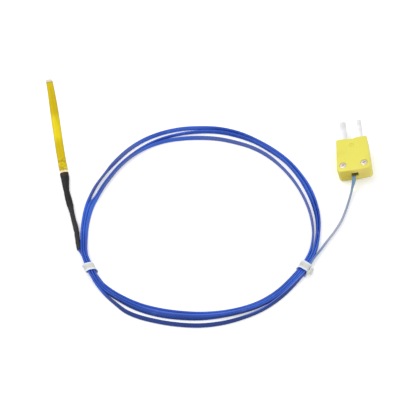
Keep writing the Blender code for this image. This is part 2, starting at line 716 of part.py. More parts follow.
def nut(name, x, y):
    top = -(HALF_THICKNESS - NUT_HEIGHT - 0.1 * MM)
    low = top - NUT_HEIGHT
    corner = NUT_ACROSS_FLATS / 2 / math.cos(math.radians(30))
    outer = circle(x, y, corner, 6)
    bore = circle(x, y, SCREW_SHANK_DIAMETER / 2 + JOIN_GAP, 18)
    body = prism(name, outer, low, top, BRIGHT_METAL)
    return carve(body, [prism("cutter", bore, low - 1 * MM, top + 1 * MM)])


def conductor(name, sign, look):
    x = sign * PIN_PITCH / 2
    beside = x - sign * (TERMINAL_SHANK_DIAMETER / 2 + CONDUCTOR_DIAMETER / 2 + 0.15 * MM)
    over = PIN_TAB_THICKNESS / 2 + CONDUCTOR_DIAMETER / 2 + 0.15 * MM
    start = LEAD_SIDE * 0.75 + sign * 0.32 * MM
    route = [Vector((start, LEAD_INNER_END + JOIN_GAP, -0.1 * MM)),
             Vector((start + sign * 0.5 * MM, LEAD_INNER_END + 1.8 * MM, 0.1 * MM)),
             Vector((beside * 0.7, TERMINAL_Y - 3.3 * MM, over)),
             Vector((beside, TERMINAL_Y - 1.2 * MM, over)),
             Vector((beside, TERMINAL_Y + 0.7 * MM, over))]
    return wire(name, smooth_path(route, 0.8 * MM), CONDUCTOR_DIAMETER, look, resolution=1)


LEAD_INNER_END = REAR + 3.4 * MM


def plug_turn():
    return Euler((0.0, math.radians(-PLUG_ROLL), math.radians(PLUG_YAW)), "XYZ").to_matrix()


def plug_height():
    """The plug's middle is as high as lets its lowest edge rest on the floor."""
    turn = plug_turn()
    outline = plug_outline()
    lowest = 0.0
    for z, amount in ((-(HALF_THICKNESS - PLUG_BEVEL), 0.0), (-HALF_THICKNESS, PLUG_BEVEL)):
        for x, y in inset(outline, amount):
            lowest = min(lowest, (turn @ Vector((x, y, z))).z)
    return -lowest


def plug_place(x, y, z):
    return plug_turn() @ Vector((x, y, z)) + Vector((PLUG_X, PLUG_Y, plug_height()))


def plug():
    anchor = bpy.data.objects.new("plug_anchor", None)
    bpy.context.scene.collection.objects.link(anchor)
    pieces = [plug_half("plug_base", -1), plug_half("plug_cover", 1)]
    pieces.append(pin("pin_negative", -1, NEGATIVE_PIN_WIDTH, NEGATIVE_METAL))
    pieces.append(pin("pin_positive", 1, POSITIVE_PIN_WIDTH, POSITIVE_METAL))
    seat = HALF_THICKNESS - SCREW_HEAD_HEIGHT - 0.1 * MM
    terminal_seat = PIN_TAB_THICKNESS / 2 + CONDUCTOR_DIAMETER + 0.3 * MM
    for label, terminal, sign in (("left", "negative", -1), ("right", "positive", 1)):
        x = sign * COVER_SCREW_PITCH / 2
        pieces.append(screw("cover_screw_" + label, x, COVER_SCREW_Y, -HALF_THICKNESS + 0.5 * MM, seat,
                            SCREW_HEAD_HEIGHT, SCREW_SHANK_DIAMETER / 2, SCREW_HEAD_DIAMETER / 2,
                            "cross", BRIGHT_METAL))
        pieces.append(nut("cover_nut_" + label, x, COVER_SCREW_Y))
        pieces.append(screw("terminal_screw_" + terminal, sign * PIN_PITCH / 2, TERMINAL_Y,
                            -(HALF_THICKNESS - PLUG_WALL - JOIN_GAP), terminal_seat, 0.95 * MM,
                            TERMINAL_SHANK_DIAMETER / 2, 1.5 * MM, "slot", BRIGHT_METAL))
        pieces.append(conductor("conductor_" + terminal, sign,
                                NEGATIVE_METAL if sign < 0 else POSITIVE_METAL))
    for piece in pieces:
        piece.parent = anchor
    anchor.rotation_euler = Euler((0.0, math.radians(-PLUG_ROLL), math.radians(PLUG_YAW)), "XYZ")
    anchor.location = (PLUG_X, PLUG_Y, plug_height())


def cable_lead():
    floor_z = CORD_DIAMETER / 2 + 0.1 * MM
    slot_z = -SLOT_BELOW + CORD_DIAMETER / 2 + 0.2 * MM
    start = coil_point(RIGHT_SHOULDER + math.degrees(JOIN_GAP / (55.4 * COIL_UNIT)), 55.55 * COIL_UNIT,
                       1.4 * MM)
    route = [start]
    for x, y, z in ((49.2, -28.2, 1.1), (53.0, -24.7, 0.8), (59.4, -18.8, 0.72), (63.0, -15.1, 0.72),
                    (65.8, -11.3, 0.72), (69.4, -5.7, 1.0), (72.6, -0.2, 2.0)):
        route.append(Vector((COIL_X + x * COIL_UNIT, COIL_Y + y * COIL_UNIT, max(z * MM, floor_z))))
    route.append(plug_place(LEAD_SIDE, REAR - 2.6 * MM, slot_z - 0.5 * MM))
    route.append(plug_place(LEAD_SIDE, REAR, slot_z))
    route.append(plug_place(LEAD_SIDE * 0.75, LEAD_INNER_END, -0.1 * MM))
    wire("cable_lead", smooth_path(route, 2.6 * MM), CORD_DIAMETER, BLUE_JACKET)


film_base()
film_top()
end_patch()
junction_bead()
ribbon("ribbon_positive", 1, POSITIVE_SPLICE_Y - 1.2 * MM, POSITIVE_METAL)
ribbon("ribbon_negative", -1, NEGATIVE_SPLICE_Y - 1.2 * MM, NEGATIVE_METAL)
splice("splice_positive", 1, POSITIVE_SPLICE_Y, BRIGHT_METAL)
splice("splice_negative", -1, NEGATIVE_SPLICE_Y, BRIGHT_METAL)
core("core_positive", 1, POSITIVE_SPLICE_Y, POSITIVE_METAL)
core("core_negative", -1, NEGATIVE_SPLICE_Y, NEGATIVE_METAL)
shrink_sleeve()
cable_entry()
cable_coil()
cable_lead()
tie("tie_left", TIE_LEFT_ANGLE, TIE_LEFT_RADIUS, 2.0, 1, 0.0)
tie("tie_right", TIE_RIGHT_ANGLE, TIE_RIGHT_RADIUS, 2.0, -1, TIE_TAIL)
plug()
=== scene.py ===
import math

import bmesh
import bpy
from mathutils import Euler, Matrix, Vector, noise


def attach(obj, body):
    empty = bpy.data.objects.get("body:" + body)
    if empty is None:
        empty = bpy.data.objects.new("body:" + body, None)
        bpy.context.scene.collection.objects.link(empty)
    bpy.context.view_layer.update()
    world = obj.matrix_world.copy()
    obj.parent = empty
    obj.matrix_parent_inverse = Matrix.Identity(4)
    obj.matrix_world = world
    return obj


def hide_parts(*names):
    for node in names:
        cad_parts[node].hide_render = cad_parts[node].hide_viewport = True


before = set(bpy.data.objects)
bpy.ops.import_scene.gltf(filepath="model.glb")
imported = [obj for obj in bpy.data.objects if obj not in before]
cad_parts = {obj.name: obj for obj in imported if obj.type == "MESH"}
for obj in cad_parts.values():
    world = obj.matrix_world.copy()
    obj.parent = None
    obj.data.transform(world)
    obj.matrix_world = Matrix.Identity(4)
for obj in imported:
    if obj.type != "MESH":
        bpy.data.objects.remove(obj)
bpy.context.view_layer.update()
mm = 0.001


# Tables and curves

def smoothStep(value):
    value = min(1.0, max(0.0, value))
    return value * value * (3.0 - 2.0 * value)


def readTable(stations, at):
    # A smooth curve through (place, value, value...) stations, read at one place
    if at <= stations[0][0]:
        return list(stations[0][1:])
    if at >= stations[-1][0]:
        return list(stations[-1][1:])
    i = next(n for n in range(len(stations) - 1) if at <= stations[n + 1][0])
    here, there = stations[i], stations[i + 1]
    before = stations[i - 1] if i > 0 else None
    after = stations[i + 2] if i + 2 < len(stations) else None
    span = there[0] - here[0]
    t = (at - here[0]) / span
    values = []
    for k in range(1, len(here)):
        slope = (there[k] - here[k]) / span
        m1 = (there[k] - before[k]) / (there[0] - before[0]) if before else slope
        m2 = (after[k] - here[k]) / (after[0] - here[0]) if after else slope
        values.append(here[k] * (2 * t ** 3 - 3 * t * t + 1) + m1 * span * (t ** 3 - 2 * t * t + t)
                      + there[k] * (3 * t * t - 2 * t ** 3) + m2 * span * (t ** 3 - t * t))
    return values


def evenPath(points, spacing):
    # Points given as vectors of any size, read again at an even spacing of their first three
    total = sum((Vector(q[:3]) - Vector(p[:3])).length for p, q in zip(points, points[1:]))
    count = max(2, round(total / spacing))
    wanted, travelled, result = total / count, 0.0, [points[0]]
    for p, q in zip(points, points[1:]):
        step = (Vector(q[:3]) - Vector(p[:3])).length
        while len(result) < count and travelled + step >= wanted - 1e-9:
            result.append(p.lerp(q, (wanted - travelled) / step))
            wanted += total / count
        travelled += step
    return result + [points[-1]]


def curveThrough(points, pieces=6):
    # A dense smooth curve through vectors of any size
    ends = [points[0] * 2 - points[1]] + list(points) + [points[-1] * 2 - points[-2]]
    dense = []
    for a, b, c, d in zip(ends, ends[1:], ends[2:], ends[3:]):
        for i in range(pieces):
            t = i / pieces
            dense.append(0.5 * (2 * b + (c - a) * t + (2 * a - 5 * b + 4 * c - d) * t * t
                                + (3 * b - a - 3 * c + d) * t * t * t))
    return dense + [points[-1].copy()]


def softPower(value, power):
    # Keeps the sign, so a circle's sine and cosine give a rounded box
    return math.copysign(abs(value) ** power, value)


# Meshes

def addObject(name, mesh, material):
    piece = bpy.data.objects.new(name, mesh)
    bpy.context.scene.collection.objects.link(piece)
    if material is not None:
        piece.data.materials.append(material)
    for face in mesh.polygons:
        face.use_smooth = True
    return piece


def finishMesh(name, work, material=None):
    # The volume's sign tells whether a wound band came out inside out
    bmesh.ops.recalc_face_normals(work, faces=work.faces)
    if work.calc_volume(signed=True) < 0:
        bmesh.ops.reverse_faces(work, faces=work.faces)
    mesh = bpy.data.meshes.new(name)
    work.to_mesh(mesh)
    work.free()
    return addObject(name, mesh, material)


def skin(name, rings, material, closed=False, along=1.0):
    # Rings of points joined into one surface, with UV across each ring and along the rings
    work = bmesh.new()
    layer = work.loops.layers.uv.new("UVMap")
    rows = [[work.verts.new(point) for point in ring] for ring in rings]
    count = len(rings[0])
    spans = len(rows) if closed else len(rows) - 1
    for i in range(spans):
        here, there = rows[i], rows[(i + 1) % len(rows)]
        for j in range(count):
            k = (j + 1) % count
            face = work.faces.new((here[j], here[k], there[k], there[j]))
            corners = ((j, i), (j + 1, i), (j + 1, i + 1), (j, i + 1))
            for loop, (a, b) in zip(face.loops, corners):
                loop[layer].uv = (a / count, b * along / max(1, spans))
    if not closed:
        work.faces.new(rows[0])
        work.faces.new(rows[-1])
    return finishMesh(name, work, material)


def prism(outline, low, high):
    # An outline in millimetres, raised from low to high
    work = bmesh.new()
    base = work.faces.new([work.verts.new(Vector((x, y, low)) * mm) for x, y in outline])
    grown = bmesh.ops.extrude_face_region(work, geom=[base])["geom"]
    top = [item for item in grown if isinstance(item, bmesh.types.BMVert)]
    bmesh.ops.translate(work, verts=top, vec=(0, 0, (high - low) * mm))
    return work


def post(x, y, radius, low, high, sides, turn=0.0):
    # An upright post with any number of sides
    work = bmesh.new()
    place = Matrix.Translation(Vector((x, y, (low + high) / 2)) * mm)
    bmesh.ops.create_cone(work, cap_ends=True, segments=sides, radius1=radius * mm, radius2=radius * mm,
                          depth=(high - low) * mm, matrix=place @ Matrix.Rotation(math.radians(turn), 4, "Z"))
    return work


def turned(x, y, profile, sides):
    # A profile of radii and heights spun about an upright axis, with flat ends
    work = bmesh.new()
    points = [work.verts.new(Vector((x + radius, y, z)) * mm) for radius, z in profile]
    lines = [work.edges.new(pair) for pair in zip(points, points[1:])]
    bmesh.ops.spin(work, geom=points + lines, cent=Vector((x, y, 0)) * mm, axis=(0, 0, 1), angle=math.tau,
                   steps=sides, use_merge=True)
    bmesh.ops.holes_fill(work, edges=work.edges, sides=0)
    return work


def roundRims(work, rims, steps):
    # Each rim is a height and its edge's radius
    bmesh.ops.recalc_face_normals(work, faces=work.faces)
    for height, radius in rims:
        rim = [line for line in work.edges if all(abs(v.co.z - height * mm) < 1e-7 for v in line.verts)]
        bmesh.ops.bevel(work, geom=rim, offset=radius * mm, offset_type="OFFSET", segments=steps, profile=0.5,
                        affect="EDGES", clamp_overlap=False, material=-1)
    return work


def roundedCorners(outline, radius, pieces=4):
    # The outline with each corner turned into a short arc-like curve
    result = []
    for i, point in enumerate(outline):
        here, before, after = Vector(point), Vector(outline[i - 1]), Vector(outline[(i + 1) % len(outline)])
        reach = min(radius, 0.45 * (before - here).length, 0.45 * (after - here).length)
        start = here + (before - here).normalized() * reach
        end = here + (after - here).normalized() * reach
        for k in range(pieces + 1):
            t = k / pieces
            bend = start * (1 - t) ** 2 + here * (2 * t * (1 - t)) + end * t * t
            result.append((bend.x, bend.y))
    return result


def carve(piece, cutters, operation="DIFFERENCE"):
    for cutter in cutters:
        step = piece.modifiers.new("carve", "BOOLEAN")
        step.operation, step.solver, step.object = operation, "EXACT", cutter
    bpy.context.view_layer.update()
    graph = bpy.context.evaluated_depsgraph_get()
    mesh = bpy.data.meshes.new_from_object(piece.evaluated_get(graph))
    piece.modifiers.clear()
    piece.data = mesh
    for cutter in cutters:
        bpy.data.objects.remove(cutter, do_unlink=True)
    return piece


def flatten(piece, angle=30.0):
    # Flat faces stay flat and only shallow edges are smoothed
    work = bmesh.new()
    work.from_mesh(piece.data)
    limit = math.radians(angle)
    for line in work.edges:
        line.smooth = len(line.link_faces) == 2 and line.calc_face_angle(0.0) < limit
    for face in work.faces:
        face.smooth = True
    work.to_mesh(piece.data)
    work.free()
    return piece


def settle(piece, slot, *nodes):
    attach(piece, "root")
    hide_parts(*nodes)


# Materials: arithmetic on values becomes Math nodes, and Nodes.add makes every node that is added

def sRgb(red, green, blue):
    def linear(value):
        value /= 255.0
        return value / 12.92 if value <= 0.04045 else ((value + 0.055) / 1.055) ** 2.4
    return (linear(red), linear(green), linear(blue), 1.0)


class Value:
    def __init__(self, nodes, socket):
        self.nodes, self.socket = nodes, socket

    def math(self, operation, *items):
        places = ("Value", "Value_001")
        return self.nodes.add("Math", {"operation": operation}, dict(zip(places, items)))["Value"]

    def __add__(self, other):
        return self.math("ADD", self, other)

    def __radd__(self, other):
        return self.math("ADD", other, self)

    def __sub__(self, other):
        return self.math("SUBTRACT", self, other)

    def __rsub__(self, other):
        return self.math("SUBTRACT", other, self)

    def __mul__(self, other):
        return self.math("MULTIPLY", self, other)

    def __rmul__(self, other):
        return self.math("MULTIPLY", other, self)

    def __abs__(self):
        return self.math("ABSOLUTE", self)

    def orMore(self, other):
        return self.math("MAXIMUM", self, other)

    def folded(self):
        # Up to 1 and back again
        return self.math("PINGPONG", self, 1.0)

    def between(self, low, high):
        # 0 below low, 1 above high, smooth in between, and the other way round when low is the higher
        settings = {"interpolation_type": "SMOOTHSTEP"}
        values = {"Value": self, "From Min": low, "From Max": high}
        return self.nodes.add("MapRange", settings, values)["Result"]

    def within(self, start, full, paleSheen, end):
        return self.between(start, full) * self.between(end, paleSheen)


class Nodes:
    def __init__(self, tree):
        self.tree = tree

    def feed(self, place, item):
        if isinstance(item, Value):
            self.tree.links.new(item.socket, place)
        else:
            place.default_value = item

    def add(self, kind, settings, values):
        node = self.tree.nodes.new("ShaderNode" + kind)
        for name, setting in settings.items():
            setattr(node, name, setting)
        places = {place.identifier: place for place in node.inputs}
        for name, item in values.items():
            self.feed(places[name], item)
        return {place.identifier: Value(self, place) for place in node.outputs}


class Look(Nodes):
    # One Principled material

    def __init__(self, name, color, roughness, metallic=0.0, coat=0.0, coatRoughness=0.1):
        self.material = bpy.data.materials.new(name)
        self.material.use_nodes = True
        super().__init__(self.material.node_tree)
        self.shader = self.tree.nodes["Principled BSDF"]
        self.put("Base Color", sRgb(*color))
        self.put("Roughness", roughness)
        self.put("Metallic", metallic)
        self.put("Coat Weight", coat)
        self.put("Coat Roughness", coatRoughness)

    def put(self, name, item):
        self.feed(self.shader.inputs[name], item)

    def coordinates(self, kind="Object"):
        return self.add("TexCoord", {}, {})[kind]

    def axes(self, vector):
        parts = self.add("SeparateXYZ", {}, {"Vector": vector})
        return parts["X"], parts["Y"], parts["Z"]

    def stretched(self, vector, scale):
        return self.add("Mapping", {}, {"Vector": vector, "Scale": scale})["Vector"]

    def noise(self, vector, scale, detail=2.0):
        return self.add("TexNoise", {}, {"Vector": vector, "Scale": scale, "Detail": detail})["Fac"]

    def mix(self, factor, first, second):
        first, second = (item if isinstance(item, Value) else sRgb(*item) for item in (first, second))
        values = {"Factor_Float": factor, "A_Color": first, "B_Color": second}
        return self.add("Mix", {"data_type": "RGBA"}, values)["Result_Color"]

    def bump(self, height, strength, distance):
        values = {"Height": height, "Strength": strength, "Distance": distance}
        self.put("Normal", self.add("Bump", {}, values)["Normal"])


# Camera, lamps and floor

camera = {"target": (0.058995, -0.083489, 0.0), "azimuth": -12.0, "elevation": 55.0, "distance": 0.6,
          "millimetresPerPixel": 0.47, "pixels": 400.0, "sensor": 36.0}
stage = {"middle": (0.06, -0.08, 0.0), "paper": (244, 244, 244), "half": 1.6, "drop": 0.00002, "glow": 0.3,
         "roomLight": 0.75, "roomSeen": 1.0,
         "keyLight": ((-0.45, 0.35, 0.9), 0.7, 3.4), "fillLight": ((0.7, -0.5, 0.7), 0.9, 1.2)}


def makeCamera():
    a, e = math.radians(camera["azimuth"]), math.radians(camera["elevation"])
    back = Vector((math.sin(a) * math.cos(e), -math.cos(a) * math.cos(e), math.sin(e)))
    right = Vector((math.cos(a), math.sin(a), 0.0))
    up = back.cross(right)
    turn = Matrix((right, up, back)).transposed().to_4x4()
    data = bpy.data.cameras.new("viewCamera")
    data.sensor_fit, data.sensor_width = "HORIZONTAL", camera["sensor"]
    width = camera["millimetresPerPixel"] * mm * camera["pixels"]
    data.lens = camera["sensor"] * camera["distance"] / width
    data.clip_start, data.clip_end = 0.01, 20.0
    eye = bpy.data.objects.new("viewCamera", data)
    bpy.context.scene.collection.objects.link(eye)
    eye.matrix_world = Matrix.Translation(Vector(camera["target"]) + back * camera["distance"]) @ turn
    bpy.context.scene.camera = eye


def makeLight(name):
    # Its place beside the middle of the stage, its size and its power
    offset, size, power = stage[name]
    data = bpy.data.lights.new(name, "AREA")
    data.shape, data.size, data.energy = "DISK", size, power
    lamp = bpy.data.objects.new(name, data)
    bpy.context.scene.collection.objects.link(lamp)
    lamp.location = Vector(stage["middle"]) + Vector(offset)
    lamp.rotation_euler = Vector(offset).to_track_quat("Z", "Y").to_euler()


def makeStage():
    # The camera and the mirror rays see a white room, which lights the object a little less
    world = bpy.data.worlds.new("room")
    bpy.context.scene.world = world
    world.use_nodes = True
    room = Nodes(world.node_tree)
    back = room.tree.nodes["Background"]
    room.feed(back.inputs["Color"], (1.0, 1.0, 1.0, 1.0))
    rays = room.add("LightPath", {}, {})
    seen = rays["Is Camera Ray"].orMore(rays["Is Glossy Ray"])
    room.feed(back.inputs["Strength"], seen * (stage["roomSeen"] - stage["roomLight"]) + stage["roomLight"])
    makeLight("keyLight")
    makeLight("fillLight")
    look = Look("floorPaper", stage["paper"], 0.9)
    look.put("Emission Color", (1.0, 1.0, 1.0, 1.0))
    look.put("Emission Strength", look.add("LightPath", {}, {})["Is Camera Ray"] * stage["glow"])
    work = bmesh.new()
    bmesh.ops.create_grid(work, x_segments=8, y_segments=8, size=stage["half"])
    bmesh.ops.translate(work, verts=work.verts, vec=Vector(stage["middle"]) - Vector((0, 0, stage["drop"])))
    mesh = bpy.data.meshes.new("floor")
    work.to_mesh(mesh)
    work.free()
    addObject("floor", mesh, look.material)


# Cable

# Painted light here: navy is painted shade, light is partly a painted highlight, the greyer blues are painted
# sheen
coil = {"x": 56.7, "y": -95.7, "turn": -12.0, "width": 2.0, "thickness": 0.95, "waist": 0.07, "spacing": 1.0,
        "base": (56, 102, 208), "dark": (32, 74, 176), "light": (108, 138, 232), "shadeNavy": (26, 52, 122),
        "wearAndSheen": (80, 98, 166), "sheenLeaving": (104, 132, 180), "paleSheen": (162, 168, 190),
        "steelSheen": (138, 153, 177), "sheenNearPlug": (108, 146, 178), "inPlug": (104, 100, 78)}
# Stretches of painted shade, painted highlights and painted sheen, in centimetres along the cable: where each
# starts, is full, fades and ends. A pair has only where its colour starts and is full, or with the higher
# first, where it ends and is full.
stretches = {"outerTurn": (103.5, 104.5, 113.5, 114.5), "innerTurn": (10.2, 11.4, 13.5, 13.9),
             "thirdTurn": (69.4, 70.4, 77.0, 78.6), "secondTurn": (37.5, 39.0, 42.2, 43.6),
             "wearAndSheen": ((14.8, 16.0, 23.6, 25.4), (27.2, 28.2, 30.0, 31.0), (93.9, 94.9, 97.8, 98.8)),
             "halfSheen": (59.5, 60.5, 63.6, 64.6), "upperEdge": (110.2, 111.4), "lead": (114.4, 114.8),
             "sheenLeaving": (116.8, 115.0)}
# Where the lead's painted sheen changes, and where the painted shade inside the plug starts, in metres along
# Y
leadChanges = {"steelSheen": (-0.112, -0.1), "sheenNearPlug": (-0.0965, -0.0915), "inPlug": (-0.0899, -0.0889)}

# The middle line of the strip, the sleeve and the cable in it: along Y, then sideways, in millimetres
middleLine = [(-99.6, -0.85), (-95.3, -0.75), (-91.4, -0.55), (-87.5, -0.55), (-83.4, -0.8), (-79.3, -0.98),
              (-75.0, -1.15), (-71.0, -1.4), (-66.4, -1.6), (-62.7, -1.45), (-57.4, -1.15), (-50.0, -1.15),
              (-40.8, -1.05), (-28.0, -0.68), (-15.0, -0.28), (-2.5, 0.0), (5.0, 0.0)]

# The cable's stations in the sleeve, as y and lean, between the sleeve and the coil, as angle, radius, height
# and lean, and in the plug, as x, y, z and lean. A lean of 0 stands on edge, 90 lies flat, and a positive one
# leans outwards.
inSleeve = [(-83.5, 20.0), (-87.5, 20.0), (-91.4, 25.0), (-95.3, 35.0), (-98.6, 50.0)]
toCoil = [(197.6, 56.95, 0.98, 72.0), (200.0, 56.55, 0.98, 84.0), (204.0, 56.2, 0.98, 90.0),
          (210.5, 55.95, 1.0, 90.0)]
inPlug = [(-1.05, -12.7, -0.4, 48.0), (-0.85, -10.9, 0.0, 78.0), (-0.7, -9.4, 0.05, 90.0),
          (-0.41, -6.35, -0.1, 90.0)]

# Each turn's radius round the coil and its lean, by the angle in the picture, from the left tie on
turns = [
    (211, 55.9, 0, 55.55, 10, 56.75, 10, 57.9, 5), (215, 55.75, 0, 56.05, 5, 57.1, 5, 58.15, 5),
    (220, 55.3, 0, 56.27, 0, 57.25, 0, 58.25, 0), (230, 53.75, -15, 54.78, -15, 55.8, -15, 58.3, -20),
    (235, 53.05, -28, 54.15, -28, 55.25, -28, 58.6, -32),
    (240, 52.3, -34, 53.48, -34, 54.65, -34, 58.15, -42),
    (250, 50.82, -40, 52.1, -40, 53.38, -40, 56.7, -46),
    (260, 49.83, -38, 51.07, -38, 52.31, -38, 55.8, -48),
    (270, 49.56, -31, 50.69, -31, 51.82, -31, 55.38, -50),
    (280, 49.6, -11, 50.6, -11, 51.6, -11, 55.05, -34),
    (290, 50.03, 0, 50.99, 0, 51.95, 0, 54.78, -18), (300, 50.72, 0, 51.69, 0, 52.66, 0, 54.7, -22),
    (310, 51.05, 0, 52.03, 0, 53.0, 0, 54.35, -38), (320, 51.25, 0, 52.25, 0, 53.25, 0, 54.3, -25),
    (331.6, 52.15, 0, 53.12, 0, 54.09, 0, 55.06, 0), (340, 52.75, -8, 53.94, -8, 55.0, -8),
    (350, 52.4, -6, 54.0, -8, 55.05, -8), (360, 51.6, 6, 53.9, 15, 55.0, 15),
    (370, 50.7, 5, 53.44, 25, 54.83, 25), (380, 50.0, 0, 53.1, 30, 54.66, 30),
    (390, 49.65, 4, 52.95, 12, 54.45, 15), (400, 49.53, 5, 52.95, 0, 54.3, 36),
    (410, 49.66, 24, 52.65, 3, 54.15, 52), (420, 49.42, 22, 52.85, 3, 54.25, 46),
    (430, 48.86, 30, 52.92, 22, 54.8, 25), (440, 48.75, 38, 52.9, 28, 54.95, 32),
    (450, 48.7, 50, 52.3, 12, 54.8, 55), (460, 48.95, 34, 51.85, 0, 54.95, 55),
    (470, 49.6, 25, 51.6, 0, 54.95, 55), (480, 49.9, 5, 51.2, 0, 54.75, 55),
    (490, 49.8, -18, 50.8, -18, 54.12, 54), (500, 49.5, -20, 50.48, -20, 53.3, 42),
    (510, 49.3, -18, 50.3, -18, 52.98, -8), (520, 49.75, -8, 50.72, -8, 53.42, 12),
    (525, 50.2, 0, 51.18, 0, 53.62, 18), (530, 51.15, 38, 52.46, 43, 53.82, 44),
    (540, 52.17, 30, 53.28, 30, 54.39, 30), (550, 53.38, 21, 54.42, 21, 55.46, 21),
    (560, 55.12, 8, 56.11, 8, 57.1, 8), (563.5, 55.3, 0, 56.35, 0, 57.4, 0)]

# The lead from the right tie to the plug, in millimetres, with its lean
leadPoints = [(102.9, -126.6, 1.6, 15), (105.9, -123.9, 1.2, 20), (109.6, -120.3, 1.0, 22),
              (112.9, -117.2, 1.0, 22), (116.0, -114.3, 1.0, 22), (119.5, -110.6, 1.0, 20),
              (122.3, -106.9, 1.0, 16), (125.8, -101.3, 1.1, 11), (128.9, -95.9, 2.0, 9),
              (129.9, -93.8, 2.6, 12)]


def bow(y):
    return readTable(middleLine, y)[0]


def coilPoint(angle, radius, z):
    turn = math.radians(angle + coil["turn"])
    return Vector((coil["x"] + radius * math.cos(turn), coil["y"] + radius * math.sin(turn), z)) * mm


def tieLift(angle):
    # How far the ties lift the bundle off the floor, in millimetres
    lift = 0.0
    for tie in (ties["left"], ties["right"]):
        off = abs(angle % 360.0 - tie["angle"])
        lift = max(lift, tie["lift"] * smoothStep(1.0 - (off - 2.5) / 15.0))
    return lift


def restHeight(lean):
    half, thin = coil["width"] / 2, coil["thickness"] / 2
    return (half - thin) * abs(math.cos(math.radians(lean))) + thin


def cableRoute():
    # Stations of the whole cable, as x, y, z and lean, from inside the sleeve to inside the plug
    route = [Vector((bow(y) * mm, y * mm, sleeve["centre"] * mm, lean)) for y, lean in inSleeve]
    route += [Vector((*coilPoint(angle, radius, z), lean)) for angle, radius, z, lean in toCoil]
    flatHeight = 0.98
    for turn in range(4):
        at, leanAt = 1 + 2 * turn, 2 + 2 * turn
        rows = [(row[0], row[at], row[leanAt]) for row in turns if len(row) > leanAt]
        for angle in range(214, 565, 3):
            if angle > rows[-1][0]:
                break
            radius, lean = readTable(rows, angle)
            z = tieLift(angle) + restHeight(lean)
            if turn == 0 and angle < 222:
                share = smoothStep((angle - 210) / 12.0)
                lean = 90.0 + (lean - 90.0) * share
                z = max(flatHeight + (z - flatHeight) * share, restHeight(lean))
            route.append(Vector((*coilPoint(angle, radius, z), lean)))
        if turn < 3:
            between = 0.5 * (turns[-1][at] + turns[0][at + 2])
            height = ties["left"]["lift"] + restHeight(5.0)
            route.append(Vector((*coilPoint(207.5, between, height), 5.0)))
    route += [Vector((x * mm, y * mm, z * mm, lean)) for x, y, z, lean in leadPoints]
    route += [Vector((*plugPoint(x, y, z), lean)) for x, y, z, lean in inPlug]
    return route


def cableSection(sides=18):
    # The flat cable's outline: two round cores side by side with a shallow waist
    half, thin = coil["width"] / 2 * mm, coil["thickness"] / 2 * mm
    section = []
    for i in range(sides):
        a = math.tau * i / sides
        side = 0 if abs(math.cos(a)) < 1e-6 else math.copysign(1, math.cos(a))
        across, up = (half - thin) * side + thin * math.cos(a), thin * math.sin(a)
        waist = coil["waist"] * mm * max(0.0, 1.0 - (abs(across) / (0.3 * mm)) ** 2)
        section.append((across, up - math.copysign(waist, up) if abs(up) > 1e-9 else up))
    return section


def makeCable(look):
    path = evenPath(curveThrough(cableRoute()), coil["spacing"] * mm)
    section = cableSection()
    rings, centres = [], []
    for i, place in enumerate(path):
        centre = Vector(place[:3])
        ahead = Vector(path[min(i + 1, len(path) - 1)][:3])
        behind = Vector(path[max(i - 1, 0)][:3])
        direction = (ahead - behind).normalized()
        side = direction.cross(Vector((0, 0, 1))).normalized()
        upward = side.cross(direction).normalized()
        lean = math.radians(place[3])
        wide = upward * math.cos(lean) + side * math.sin(lean)
        thin = direction.cross(wide)
        rings.append([centre + wide * across + thin * up for across, up in section])
        centres.append(centre)
    length = sum((b - a).length for a, b in zip(centres, centres[1:]))
    print("cable length", round(length, 4), "rings", len(rings))
    return skin("flatCable", rings, look, along=length / 0.01), centres, length


def cableLook():
    # Blue at the coil, with painted shade, highlights and sheen on some turns, and paler and greyer along the
    # lead as painted sheen, with painted shade inside the plug. UV runs round the cable and, in centimetres,
    # along it.
    look = Look("blueJacket", coil["base"], 0.4)
    look.put("Specular IOR Level", 0.35)
    place = look.coordinates()
    y = look.axes(place)[1]
    around, along = look.axes(look.coordinates("UV"))[:2]
    soft = look.noise(place, 34.0)
    fine = look.noise(place, 260.0)
    blue = look.mix(soft.between(0.35, 0.7), coil["base"], coil["dark"])
    blue = look.mix(fine.between(0.55, 0.85) * 0.4, blue, coil["light"])
    # The lead's paler, greyer colours are a painted sheen on its flat face
    lead = look.mix(y.between(*leadChanges["steelSheen"]), coil["paleSheen"], coil["steelSheen"])
    lead = look.mix(along.between(*stretches["sheenLeaving"]), lead, coil["sheenLeaving"])
    lead = look.mix(y.between(*leadChanges["sheenNearPlug"]), lead, coil["sheenNearPlug"])
    # Painted shade: the cable is coloured dark brown inside the plug's slot
    lead = look.mix(y.between(*leadChanges["inPlug"]), lead, coil["inPlug"])
    # Painted shade over the outer turn, with a painted highlight along its upper edge
    outer = along.within(*stretches["outerTurn"])
    upper = abs(around - 0.5).between(0.35, 0.43) * along.between(*stretches["upperEdge"])
    blue = look.mix(outer * 0.9, blue, look.mix(upper * 0.9, coil["shadeNavy"], coil["light"]))
    # Painted shade on the inner turn's inner edge and on the third turn's outer face
    inner = along.within(*stretches["innerTurn"]) * around.between(0.7, 0.78)
    third = along.within(*stretches["thirdTurn"]) * around.between(0.46, 0.4) * 0.55
    blue = look.mix(inner.orMore(third), blue, coil["shadeNavy"])
    # Painted sheen on the paler stretches of the coil
    wearAndSheen = along.within(*stretches["halfSheen"]) * 0.6
    for stretch in stretches["wearAndSheen"]:
        wearAndSheen += along.within(*stretch)
    blue = look.mix(wearAndSheen * 0.85, blue, coil["wearAndSheen"])
    # Painted highlight on the second turn, the bundle's lit middle
    blue = look.mix(along.within(*stretches["secondTurn"]) * 0.3, blue, coil["light"])
    look.put("Base Color", look.mix(along.between(*stretches["lead"]), blue, lead))
    look.put("Roughness", fine * 0.12 + 0.36)
    ridges = (around * 36.0).folded()
    look.bump(ridges * 0.3 + fine * 0.7, 0.06, 0.00005)
    return look.material
